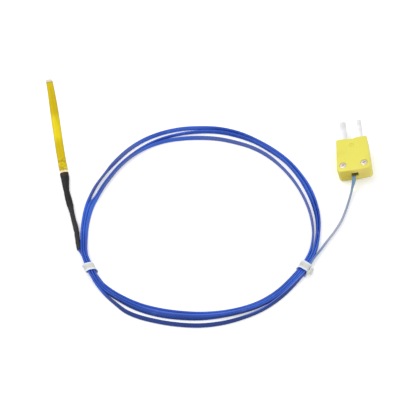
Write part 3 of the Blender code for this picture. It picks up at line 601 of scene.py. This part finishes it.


# Ties

# Sizes in millimetres. A slant is how far the band's first edge shifts along the bundle, and by how much more
# for each millimetre outwards, and then the same for its last edge. The span is the loops with the tail. A
# row of the tail is its place outwards and upwards, the way it faces, and its width against the band's.
# The rim colour is a painted highlight on the band's turned-up edges
ties = {"wall": 0.5, "height": 3.9, "length": 5.4, "band": 2.0, "corner": 1.6, "lip": 0.5, "wound": 2.12,
        "tailFrom": 2.6, "sides": 20,
        "color": (212, 217, 207), "shade": (200, 204, 196), "warm": (216, 214, 208), "rim": (228, 232, 250),
        "left": {"angle": 207.0, "radius": 56.6, "width": 4.9, "slant": (0.4, 0.06, 1.45, -0.36), "way": 1,
                 "lift": 1.42, "loops": 2.12, "span": 2.12, "tail": ()},
        "right": {"angle": 331.6, "radius": 53.5, "width": 5.2, "slant": (-1.4, -0.17, -0.1, -0.13),
                  "way": -1, "lift": 0.72, "loops": 2.3, "span": 2.5,
                  "tail": ((2.62, 0.75, 0.8, -0.6, 1.05), (3.0, 1.15, 0.3, -0.95, 1.15),
                           (3.5, 1.15, -0.4, -0.9, 1.25), (3.85, 0.75, -0.8, -0.6, 1.35),
                           (4.05, 0.1, -0.97, -0.2, 1.4), (4.1, -0.6, -1.0, 0.0, 1.35),
                           (4.0, -1.3, -0.97, 0.2, 1.2))}}


def tieOutline(width, height, corner, perCorner=10):
    # A rounded box round the bundle: each point's place sideways and upwards, and the way it faces
    result = []
    for sideways, upwards, start in ((1, 1, 0), (-1, 1, 90), (-1, -1, 180), (1, -1, 270)):
        for k in range(perCorner):
            a = math.radians(start + 90.0 * k / (perCorner - 1))
            result.append((sideways * (width / 2 - corner) + corner * math.cos(a),
                           upwards * (height / 2 - corner) + corner * math.sin(a), math.cos(a), math.sin(a)))
    return result


def makeTie(name, tie, look):
    # A soft band wound a little over two loops round the bundle, with its two outer edges turned up, and with
    # a loose end where it has a tail
    wall, way, slant = ties["wall"] / 2, tie["way"], tie["slant"]
    outline = tieOutline(tie["width"] - ties["wall"], ties["height"] - ties["wall"], ties["corner"])
    loop = len(outline)
    turn = math.radians(tie["angle"] + coil["turn"])
    outward, along = Vector((math.cos(turn), math.sin(turn), 0)), Vector((-math.sin(turn), math.cos(turn), 0))
    middle = coilPoint(tie["angle"], tie["radius"], ties["height"] / 2)
    travel, wound = ties["length"] - ties["band"], ties["wound"]
    stops = []
    for i in range(int(tie["loops"] * loop) + 1):
        share = i / loop
        at = way * travel * (min(share, wound) / wound - 0.5)
        stops.append((*outline[(i + 3 * loop // 4 - 2) % loop], at, share, 1.0))
    lastAt = stops[-1][4]
    for out, up, outTurn, upTurn, wide in tie["tail"]:
        at = lastAt - way * (0.3 + 1.1 * (out - ties["tailFrom"]))
        stops.append((out, up, outTurn, upTurn, at, share, wide))
    rings = []
    for i, (out, up, outTurn, upTurn, at, share, wide) in enumerate(stops):
        end = at / (ties["length"] / 2)
        lean = min(max(out, -2.5), 2.5)
        at += 0.5 * ((1.0 - end) * (slant[0] + slant[1] * lean) + (1.0 + end) * (slant[2] + slant[3] * lean))
        at += 0.06 * math.sin(i * 0.37 + tie["angle"]) + 0.04 * math.sin(i * 0.91)
        centre = middle + (outward * out + Vector((0, 0, up)) + along * at) * mm
        normal = (outward * outTurn + Vector((0, 0, upTurn))).normalized()
        loose = max(0.0, min(1.0, out - ties["tailFrom"]))
        first, last = smoothStep(1.15 - share), smoothStep(min(1.0, share - 0.97) - loose)
        half = (ties["band"] / 2 + 0.1) * wide
        ring = []
        for k in range(ties["sides"]):
            a = math.tau * k / ties["sides"]
            side = half * softPower(math.cos(a), 0.6)
            rise = wall * softPower(math.sin(a), 0.75) * (1.15 if math.sin(a) > 0 else 1.0)
            edge = max(0.0, -side / half) ** 1.8 * first + max(0.0, side / half) ** 1.8 * last
            point = centre + (along * (side * way) + normal * (rise + ties["lip"] * edge)) * mm
            point.z = max(point.z, 0.0)
            ring.append(point)
        rings.append(ring)
    return skin(name, rings, look, along=3.0)


def tieLook(name, tie):
    # Milky plastic, with a whiter and bluer painted highlight on the band's two turned-up edges
    look = Look(name, ties["color"], 0.42)
    place = look.coordinates()
    cloud = look.noise(place, 420.0)
    broad = look.noise(place, 150.0, 1.0)
    body = look.mix(cloud.between(0.3, 0.75), ties["color"], ties["shade"])
    body = look.mix(broad.between(0.45, 0.75) * 0.7, body, ties["warm"])
    around, onward = look.axes(look.coordinates("UV"))[:2]
    off, loops = abs(around - 0.5), tie["span"]
    first = off.between(0.25, 0.18) * onward.between(3.6 / loops, 3.0 / loops)
    last = off.between(0.23, 0.3) * onward.between(3.0 - 3.6 / loops, 3.0 - 3.1 / loops)
    if tie["tail"]:
        last = last * onward.between(2.82, 2.74)
    # The whiter, bluer rims are a painted highlight
    look.put("Base Color", look.mix(first.orMore(last), body, ties["rim"]))
    look.put("Roughness", cloud * 0.15 + 0.36)
    look.bump(cloud, 0.1, 0.0001)
    return look.material


# Measuring strip

strip = {"tip": 4.5, "tipCorner": 0.7, "coverStart": 2.6, "end": -58.7, "film": 0.12, "gap": 0.05,
         "under": 0.17, "ribbon": 0.16, "pitch": 1.5, "ribbonWidth": 0.62, "junctionEnd": 1.3,
         "junctionHalf": 1.1, "riseFrom": -47.3, "rise": 0.75, "crease": 0.13, "step": 0.35, "across": 33,
         "middle": (212, 186, 0), "bright": (236, 216, 24), "deep": (194, 166, 0), "edge": (168, 146, 30),
         "cream": (246, 234, 190), "patch": (236, 228, 208), "patchShade": (206, 196, 176),
         "patchMiddle": 0.29, "patchHalf": 0.13, "patchSides": 24,
         "patchStations": (4.46, 4.4, 4.25, 4.05, 3.85, 3.65, 3.4, 3.15, 2.9)}
# The strip's width along Y, in millimetres
stripWidths = [(-59.0, 2.9), (-57.5, 3.1), (-56.0, 3.5), (-53.5, 3.9), (-48.0, 3.95), (-20.0, 4.0),
               (-12.0, 3.85), (-4.0, 3.5), (1.0, 3.32), (3.8, 3.2)]


def stripHalf(y):
    corner, tipHalf = strip["tipCorner"], stripWidths[-1][1] / 2
    drop = (y - (strip["tip"] - corner)) / corner
    if drop > 0:
        return tipHalf - corner + corner * math.sqrt(max(0.0, 1.0 - drop * drop))
    return readTable(stripWidths, y)[0] / 2


def crinkle(x, y):
    # Creases in the film where it goes into the sleeve, in millimetres
    share = smoothStep((-45.0 - y) / 3.0) * smoothStep((y + 57.0) / 3.0)
    ripple = math.sin(y * 2.6 + 1.4 * math.sin(x * 1.7)) * 0.5 + math.sin(y * 4.3 - x * 2.1 + 1.0) * 0.35
    return share * strip["crease"] * ripple


def ribbonCover(x, y):
    # 1 where the upper film lies over a ribbon or the junction
    off = abs(abs(x) - strip["pitch"] / 2)
    share = smoothStep(1.0 - (off - strip["ribbonWidth"] / 2 - 0.1) / 0.25)
    if abs(y) < strip["junctionEnd"]:
        beside = smoothStep(1.0 - (abs(x) - strip["junctionHalf"]) / 0.25)
        share = max(share, beside * smoothStep((strip["junctionEnd"] - abs(y)) / 0.2))
    return share if y < strip["junctionEnd"] else 0.0


def filmSheet(name, first, under, look, covers):
    # One film of the strip: a thin sheet that follows the strip's middle line and rises to the sleeve's mouth
    last, across = strip["end"], strip["across"]
    count = int((first - last) / strip["step"])
    rings = []
    for i in range(count + 1):
        y = first + (last - first) * i / count
        rise = strip["rise"] * smoothStep((strip["riseFrom"] - y) / 9.0)
        lower, upper = [], []
        for j in range(across):
            x = (2.0 * j / (across - 1) - 1.0) * stripHalf(y)
            z = rise + under + crinkle(x, y) * (1.0 if covers else 0.6)
            if covers:
                z += (strip["ribbon"] + strip["gap"]) * ribbonCover(x, y)
            z = max(z, 0.0)
            lower.append(Vector((bow(y) + x, y, z)) * mm)
            upper.append(Vector((bow(y) + x, y, z + strip["film"])) * mm)
        rings.append(lower + upper[::-1])
    return skin(name, rings, look, along=(first - last) / 4.0)


def filmLook(name, deep):
    # Amber film with long streaks, brighter half way, painted crease shade and highlights by the sleeve,
    # clear in its mouth
    look = Look(name, strip["middle"], 0.3)
    look.put("Specular IOR Level", 0.15)
    place = look.coordinates()
    y = look.axes(place)[1]
    long = look.stretched(place, (1.0, 0.18, 1.0))
    streak = look.noise(long, 900.0)
    broad = look.noise(long, 160.0)
    shine = y.within(-0.0375, -0.0315, -0.0215, -0.0165)
    bright = look.mix(shine, strip["middle"], strip["bright"])
    tone = look.mix(broad.between(0.45, 0.8) * 0.6, bright, deep)
    tone = look.mix(streak.between(0.5, 0.75) * 0.35, tone, deep)
    # Painted shade and painted highlights on the creases by the sleeve
    facet = look.noise(place, 620.0, 1.0)
    creaseShading = y.between(-0.0445, -0.0475)
    tone = look.mix(creaseShading * 0.4, tone, deep)
    tone = look.mix(facet.between(0.5, 0.6) * creaseShading * 0.6, tone, strip["bright"])
    tone = look.mix(facet.between(0.47, 0.37) * creaseShading * 0.6, tone, strip["edge"])
    around = look.axes(look.coordinates("UV"))[0]
    edge = (around * 4.0).folded().between(0.26, 0.02)
    tone = look.mix(edge * 0.7, tone, strip["edge"])
    look.put("Base Color", look.mix(y.between(-0.053, -0.0542), tone, strip["cream"]))
    look.put("Roughness", streak * 0.2 + 0.2)
    look.bump(streak, 0.15, 0.00005)
    return look.material


def makePatch():
    # The pale patch over the strip's tip
    look = Look("paleEnd", strip["patch"], 0.35, coat=0.3)
    cloud = look.noise(look.coordinates(), 700.0)
    look.put("Base Color", look.mix(cloud, strip["patch"], strip["patchShade"]))
    look.bump(cloud, 0.2, 0.00005)
    rings = []
    for y in strip["patchStations"]:
        half, ring = stripHalf(y) - 0.02, []
        for j in range(strip["patchSides"]):
            a = math.tau * j / strip["patchSides"]
            z = strip["patchMiddle"] + strip["patchHalf"] * softPower(math.sin(a), 0.6)
            ring.append(Vector((half * softPower(math.cos(a), 0.35), y, z)) * mm)
        rings.append(ring)
    return skin("endPatch", rings, look.material)


def makeStrip():
    top, base = filmLook("amberFilm", strip["deep"]), filmLook("amberBacking", strip["edge"])
    topSheet = filmSheet("filmUpper", strip["coverStart"], strip["under"], top, True)
    baseSheet = filmSheet("filmLower", strip["tip"], 0.0, base, False)
    patch = makePatch()
    settle(topSheet, "amber_film", "film_top")
    settle(baseSheet, "amber_film", "film_base")
    settle(patch, "pale_patch", "end_patch")


# Shrink sleeve

sleeve = {"color": (38, 38, 41), "wearAndSheen": (52, 52, 55), "deep": (16, 16, 17), "mouth": (54, 36, 6),
          "first": -55.7, "last": -99.9, "centre": 1.15, "wall": 0.28, "lip": 0.06, "lumps": (0.12, 0.05),
          "rings": 130, "sides": 36}
# The sleeve's width and height along Y, in millimetres
sleeveSizes = [(-100.2, 1.9, 2.1), (-97.5, 2.2, 2.2), (-95.3, 2.25, 2.25), (-91.4, 2.3, 2.3),
               (-87.5, 2.45, 2.3), (-83.4, 2.3, 2.3), (-80.3, 2.2, 2.25), (-77.0, 2.6, 2.3),
               (-75.0, 2.95, 2.35), (-71.0, 3.15, 2.35), (-68.5, 2.9, 2.3), (-66.4, 2.75, 2.3),
               (-64.5, 2.95, 2.3), (-62.7, 3.25, 2.3), (-60.0, 3.7, 2.3), (-58.0, 4.0, 2.3),
               (-56.6, 4.1, 2.3), (-55.7, 4.15, 2.3)]


def sleeveLook():
    # Matt black, deeper in the half by the strip, and brown at its mouth
    look = Look("blackShrink", sleeve["color"], 0.5)
    place = look.coordinates()
    grain = look.noise(place, 1100.0, 3.0)
    cloud = look.noise(look.stretched(place, (1.0, 0.4, 1.0)), 260.0)
    look.put("Specular IOR Level", 0.22)
    y = look.axes(place)[1]
    body = look.mix(cloud.between(0.35, 0.75), sleeve["color"], sleeve["wearAndSheen"])
    body = look.mix(y.between(-0.0795, -0.074) * 0.8, body, sleeve["deep"])
    look.put("Base Color", look.mix(y.between(-0.0583, -0.0572) * 0.85, body, sleeve["mouth"]))
    look.put("Roughness", cloud * 0.25 + 0.36)
    look.bump(grain, 0.35, 0.00008)
    return look.material


def makeSleeve():
    # An outer and an inner wall in one closed skin, lumpy, and flat where it lies on the floor
    wall, centre, count = sleeve["wall"], sleeve["centre"], sleeve["rings"]
    broad, small = sleeve["lumps"]
    outer, inner = [], []
    for i in range(count + 1):
        y = sleeve["first"] + (sleeve["last"] - sleeve["first"]) * i / count
        wide, tall = readTable(sleeveSizes, y)
        ring, hollow = [], []
        for j in range(sleeve["sides"]):
            a = math.tau * j / sleeve["sides"]
            right, up = math.cos(a), math.sin(a)
            lump = broad * noise.noise(Vector((right * 1.2, y * 0.45, up * 1.2 + 7.0)))
            lump += small * noise.noise(Vector((right * 2.5, y * 1.3, up * 2.5)))
            half, high = wide / 2 + lump, tall / 2 + lump
            ring.append(Vector((bow(y) + half * right, y, max(centre + high * up, 0.02))) * mm)
            hollow.append(Vector((bow(y) + (half - wall) * right, y, centre + (high - wall) * up)) * mm)
        outer.append(ring)
        inner.append(hollow)
    lip = Vector((0, sleeve["lip"] * mm, 0))
    mouth = [a.lerp(b, 0.5) + lip for a, b in zip(outer[0], inner[0])]
    end = [a.lerp(b, 0.5) - lip for a, b in zip(outer[-1], inner[-1])]
    piece = skin("shrinkSleeve", [mouth] + outer + [end] + inner[::-1], sleeveLook(), closed=True, along=10.0)
    settle(piece, "black_sleeve", "shrink_sleeve")


# Plug: sizes in millimetres along the plug's own axes, with the seam between its halves at z = 0. Each piece
# is made there and then moved to where the plug lies.

plug = {"x": 134.65, "y": -79.27, "z": 5.836, "yaw": -11.8, "roll": 15.0,
        "length": 19.5, "front": 14.75, "rear": 16.15, "rearSweep": 2.5, "thickness": 8.0, "corner": 0.55,
        "edge": 0.55, "seamEdge": 0.12, "seam": 0.03, "notch": 0.45, "notchHalf": 1.4, "notchMouth": 2.1,
        "frontCut": 0.5, "rearCutIn": 1.1, "rearCutBack": 1.4, "pastSeam": 1.0, "pastFace": 5.0,
        "roomDepth": 2.6, "slot": (-1.65, 1.65, -10.75, -8.7), "slotUp": 1.9, "slotDown": 0.7,
        "clamp": (-1.55, 1.55, -9.2, -7.75), "clampDepth": 0.75,
        "seatRear": 5.7, "seatFront": 10.7, "seatDepth": 0.46, "seatPlay": 0.08,
        "color": (232, 224, 84), "deep": (206, 180, 52), "rearShadeLeft": (216, 192, 52),
        "rearShadeRight": (232, 212, 106)}
terminalRoom = [(-6.45, -0.2), (-6.45, 6.35), (6.45, 6.35), (6.45, -0.2), (2.55, -0.2), (2.55, -8.25),
                (-2.55, -8.25), (-2.55, -0.2)]
dimple = {"y": 5.25, "profile": ((0.2, 3.35), (0.5, 3.4), (0.85, 3.6), (1.15, 3.92), (1.35, 4.25))}
pins = {"pitch": 7.9, "thickness": 0.8, "reach": 13.0, "wide": 3.2, "narrow": 2.4, "rear": 5.9, "edge": 0.12,
        "corner": 0.35, "tipIn": 0.55, "tipBack": 0.9, "tabWidth": 4.2, "tabRear": 0.6, "tabFront": 6.05,
        "tabThickness": 0.6, "hole": 1.0, "holeAt": 3.4, "metal": (226, 226, 229)}
screws = {"x": 5.0, "y": -5.8, "hole": 1.1, "metal": (214, 205, 196), "leftTurn": 38, "rightTurn": 20,
          "counterbore": ((1.62, 2.5), (1.62, 3.9), (1.85, 4.3)),
          "profile": ((0.5, -3.5), (0.85, -3.3), (0.85, 2.72), (1.3, 2.72), (1.52, 2.8), (1.58, 2.95),
                      (1.58, 3.66), (1.54, 3.77), (1.4, 3.86), (0.9, 3.93), (0.4, 3.95)),
          "recessReach": 1.05, "recessHalf": 0.24, "recessLow": 3.5, "recessHigh": 4.0}
nuts = {"half": 1.9, "low": -3.9, "high": -2.7, "edge": 0.15, "bore": 0.9, "pocket": 2.5, "pocketTop": -2.4}


def plugTurn():
    return Euler((0.0, math.radians(-plug["roll"]), math.radians(plug["yaw"])), "XYZ").to_matrix()


def plugPoint(x, y, z):
    return (plugTurn() @ Vector((x, y, z)) + Vector((plug["x"], plug["y"], plug["z"]))) * mm


def placeInPlug(piece):
    piece.data.transform(Matrix.Translation(plugPoint(0, 0, 0)) @ plugTurn().to_4x4())
    return piece


def rectangle(left, right, rear, front):
    return [(left, rear), (left, front), (right, front), (right, rear)]


def plugOutline():
    # A notch in the front between the pins, and a rear that comes to a blunt point
    front, rear = plug["front"] / 2, plug["rear"] / 2
    ahead, behind = plug["length"] / 2, -plug["length"] / 2
    sweep = rear * math.tan(math.radians(plug["rearSweep"]))
    notchEnd, cut = ahead - plug["notch"], plug["frontCut"]
    right = [(0.0, notchEnd), (plug["notchHalf"], notchEnd), (plug["notchMouth"], ahead),
             (front - cut, ahead), (front, ahead - cut), (rear, behind + sweep + plug["rearCutBack"]),
             (rear - plug["rearCutIn"], behind + sweep), (0.0, behind)]
    return right + [(-x, y) for x, y in reversed(right[1:-1])]


def plugShell(name, side, look):
    # One half of the body, with side 1 for the upper and -1 for the lower
    outer, seam = side * plug["thickness"] / 2, side * plug["seam"]
    work = prism(roundedCorners(plugOutline(), plug["corner"]), min(outer, seam), max(outer, seam))
    roundRims(work, ((outer, plug["edge"]), (seam, plug["seamEdge"])), 5)
    body = finishMesh(name, work, look)
    cutters = []

    def cut(outline, depth):
        # From past the seam to the depth
        low, high = sorted((-side * plug["pastSeam"], side * depth))
        cutters.append(finishMesh("cutter", prism(outline, low, high)))

    cut(terminalRoom, plug["roomDepth"])
    cut(rectangle(*plug["slot"]), plug["slotUp"] if side > 0 else plug["slotDown"])
    cut(rectangle(*plug["clamp"]), plug["clampDepth"])
    for sign, width in ((-1, pins["wide"]), (1, pins["narrow"])):
        x, half = sign * pins["pitch"] / 2, width / 2 + plug["seatPlay"]
        cut(rectangle(x - half, x + half, plug["seatRear"], plug["seatFront"]), plug["seatDepth"])
    for x in (-screws["x"], screws["x"]):
        low, high = sorted((-side * plug["pastSeam"], side * plug["pastFace"]))
        cutters.append(finishMesh("cutter", post(x, screws["y"], screws["hole"], low, high, 24)))
        if side > 0:
            cutters.append(finishMesh("cutter", turned(x, screws["y"], screws["counterbore"], 40)))
        else:
            pocket = post(x, screws["y"], nuts["pocket"], -plug["pastFace"], nuts["pocketTop"], 6, 30)
            cutters.append(finishMesh("cutter", pocket))
    if side > 0:
        cutters.append(finishMesh("cutter", turned(0.0, dimple["y"], dimple["profile"], 32)))
    carve(body, cutters)
    return placeInPlug(flatten(body))


def yellowLook():
    # The rear face is warmer and darker as painted shade, and more so at its left
    look = Look("yellowBody", plug["color"], 0.34, coat=0.15, coatRoughness=0.25)
    place = look.coordinates()
    cloud = look.noise(place, 90.0)
    grain = look.noise(place, 2600.0)
    body = look.mix(cloud.between(0.45, 0.85) * 0.3, plug["color"], plug["deep"])
    x, y, z = look.axes(place)
    turn, centre = plugTurn(), plugPoint(0, 0, 0)
    ahead, across = turn @ Vector((0, 1, 0)), turn @ Vector((1, 0, 0))
    behind = (x - centre.x) * ahead.x + (y - centre.y) * ahead.y
    right = (x - centre.x) * across.x + (y - centre.y) * across.y + (z - centre.z) * across.z
    # Painted shade on the rear face, deeper at its left
    rear = look.mix(right.between(-0.003, 0.002), plug["rearShadeLeft"], plug["rearShadeRight"])
    look.put("Base Color", look.mix(behind.between(-0.0088, -0.0096) * 0.8, body, rear))
    look.put("Roughness", cloud * 0.16 + 0.28)
    look.bump(grain, 0.1, 0.00004)
    return look.material


def metalLook(name, color, roughness, scale=(1.0, 1.0, 1.0)):
    look = Look(name, color, roughness, metallic=1.0)
    place = look.coordinates()
    brushed = look.noise(look.stretched(place, scale), 1600.0, 3.0)
    cloud = look.noise(place, 260.0)
    darker = tuple(int(c * 0.93) for c in color)
    look.put("Base Color", look.mix(cloud.between(0.3, 0.8), color, darker))
    look.put("Roughness", brushed * 0.16 + (roughness - 0.06))
    look.bump(brushed, 0.05, 0.00002)
    return look.material


def makePin(name, sign, width, look):
    # A stamped blade with a wider tab inside the plug and a hole for its terminal screw
    x, half = sign * pins["pitch"] / 2, width / 2
    rear, tip, tipIn = pins["rear"], plug["length"] / 2 + pins["reach"], pins["tipIn"]
    shoulder = tip - pins["tipBack"]
    blade = [(x - half, rear), (x - half, shoulder), (x - half + tipIn, tip), (x + half - tipIn, tip),
             (x + half, shoulder), (x + half, rear)]
    thick = pins["thickness"] / 2
    work = prism(roundedCorners(blade, pins["corner"]), -thick, thick)
    roundRims(work, ((thick, pins["edge"]), (-thick, pins["edge"])), 3)
    body = finishMesh(name, work, look)
    wide, thin = pins["tabWidth"] / 2, pins["tabThickness"] / 2
    tab = prism(rectangle(x - wide, x + wide, pins["tabRear"], pins["tabFront"]), -thin, thin)
    carve(body, [finishMesh("tab", tab)], "UNION")
    carve(body, [finishMesh("cutter", post(x, pins["holeAt"], pins["hole"], -1.0, 1.0, 24))])
    return placeInPlug(flatten(body))


def makeScrew(name, sign, turn, look):
    # A pan-headed screw with a cross recess, sunk in its counterbore. The recess is half as long and wide at
    # its floor as at its top.
    x, y = sign * screws["x"], screws["y"]
    body = finishMesh(name, turned(x, y, screws["profile"], 40), look)
    reach, half, high = screws["recessReach"] / 2, screws["recessHalf"] / 2, screws["recessHigh"]
    cutters = []
    for quarter in (0, 90):
        work = prism(rectangle(-reach, reach, -half, half), screws["recessLow"], high)
        top = [corner for corner in work.verts if corner.co.z > (high - 0.1) * mm]
        bmesh.ops.scale(work, vec=(2.0, 2.0, 1.0), verts=top)
        quarterTurn = Matrix.Rotation(math.radians(turn + quarter), 4, "Z")
        place = Matrix.Translation(Vector((x, y, 0)) * mm) @ quarterTurn
        bmesh.ops.transform(work, matrix=place, verts=work.verts)
        cutters.append(finishMesh("cutter", work))
    carve(body, cutters)
    return placeInPlug(flatten(body))


def makeNut(name, sign, look):
    x, y = sign * screws["x"], screws["y"]
    work = post(x, y, nuts["half"] / math.cos(math.radians(30)), nuts["low"], nuts["high"], 6, 30)
    roundRims(work, ((nuts["low"], nuts["edge"]), (nuts["high"], nuts["edge"])), 3)
    body = finishMesh(name, work, look)
    carve(body, [finishMesh("cutter", post(x, y, nuts["bore"], -5.0, -1.0, 30))])
    return placeInPlug(flatten(body))


def makePlug():
    yellow = yellowLook()
    blade = metalLook("pinMetal", pins["metal"], 0.42, (1.0, 0.1, 1.0))
    bright = metalLook("screwMetal", screws["metal"], 0.5)
    pieces = [
        (plugShell("plugUpper", 1, yellow), "yellow_body", "plug_cover"),
        (plugShell("plugLower", -1, yellow), "yellow_body", "plug_base"),
        (makePin("widePin", -1, pins["wide"], blade), "negative_pin", "pin_negative"),
        (makePin("narrowPin", 1, pins["narrow"], blade), "positive_pin", "pin_positive"),
        (makeScrew("leftScrew", -1, screws["leftTurn"], bright), "plated_metal", "cover_screw_left"),
        (makeScrew("rightScrew", 1, screws["rightTurn"], bright), "plated_metal", "cover_screw_right"),
        (makeNut("leftNut", -1, bright), "plated_metal", "cover_nut_left"),
        (makeNut("rightNut", 1, bright), "plated_metal", "cover_nut_right")]
    for piece, slot, node in pieces:
        settle(piece, slot, node)
    return [piece for piece, slot, node in pieces]


makeCamera()
makeStage()
print("camera and stage")

cable, centres, cableLength = makeCable(cableLook())
leftTie = makeTie("leftTie", ties["left"], tieLook("leftBand", ties["left"]))
rightTie = makeTie("rightTie", ties["right"], tieLook("rightBand", ties["right"]))
settle(cable, "blue_jacket", "cable_entry", "cable_coil", "cable_lead")
settle(leftTie, "white_tie", "tie_left")
settle(rightTie, "white_tie", "tie_right")
print("cable and ties")

plugPieces = makePlug()
print("plug")

makeStrip()
makeSleeve()
print("strip and sleeve")

# The pieces inside stay as the CAD source has them, in bare metal
terminals = ["terminal_screw_negative", "terminal_screw_positive"]
conductors = ["conductor_negative", "conductor_positive"]
covered = ["splice_positive", "splice_negative", "junction_bead", "ribbon_positive", "ribbon_negative",
           "core_positive", "core_negative"]
for node in terminals + covered + conductors:
    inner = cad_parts[node]
    look = metalLook(node + "Metal", (200, 198, 192), 0.3)
    for place in inner.material_slots:
        place.material = look
print("inner pieces")

tuple(Vector((bow(-99.5), -99.5, 1.1)) * mm)
[leftTie, rightTie] + plugPieces + [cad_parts[n] for n in terminals + conductors]

bpy.context.scene.view_settings.view_transform = "Standard"
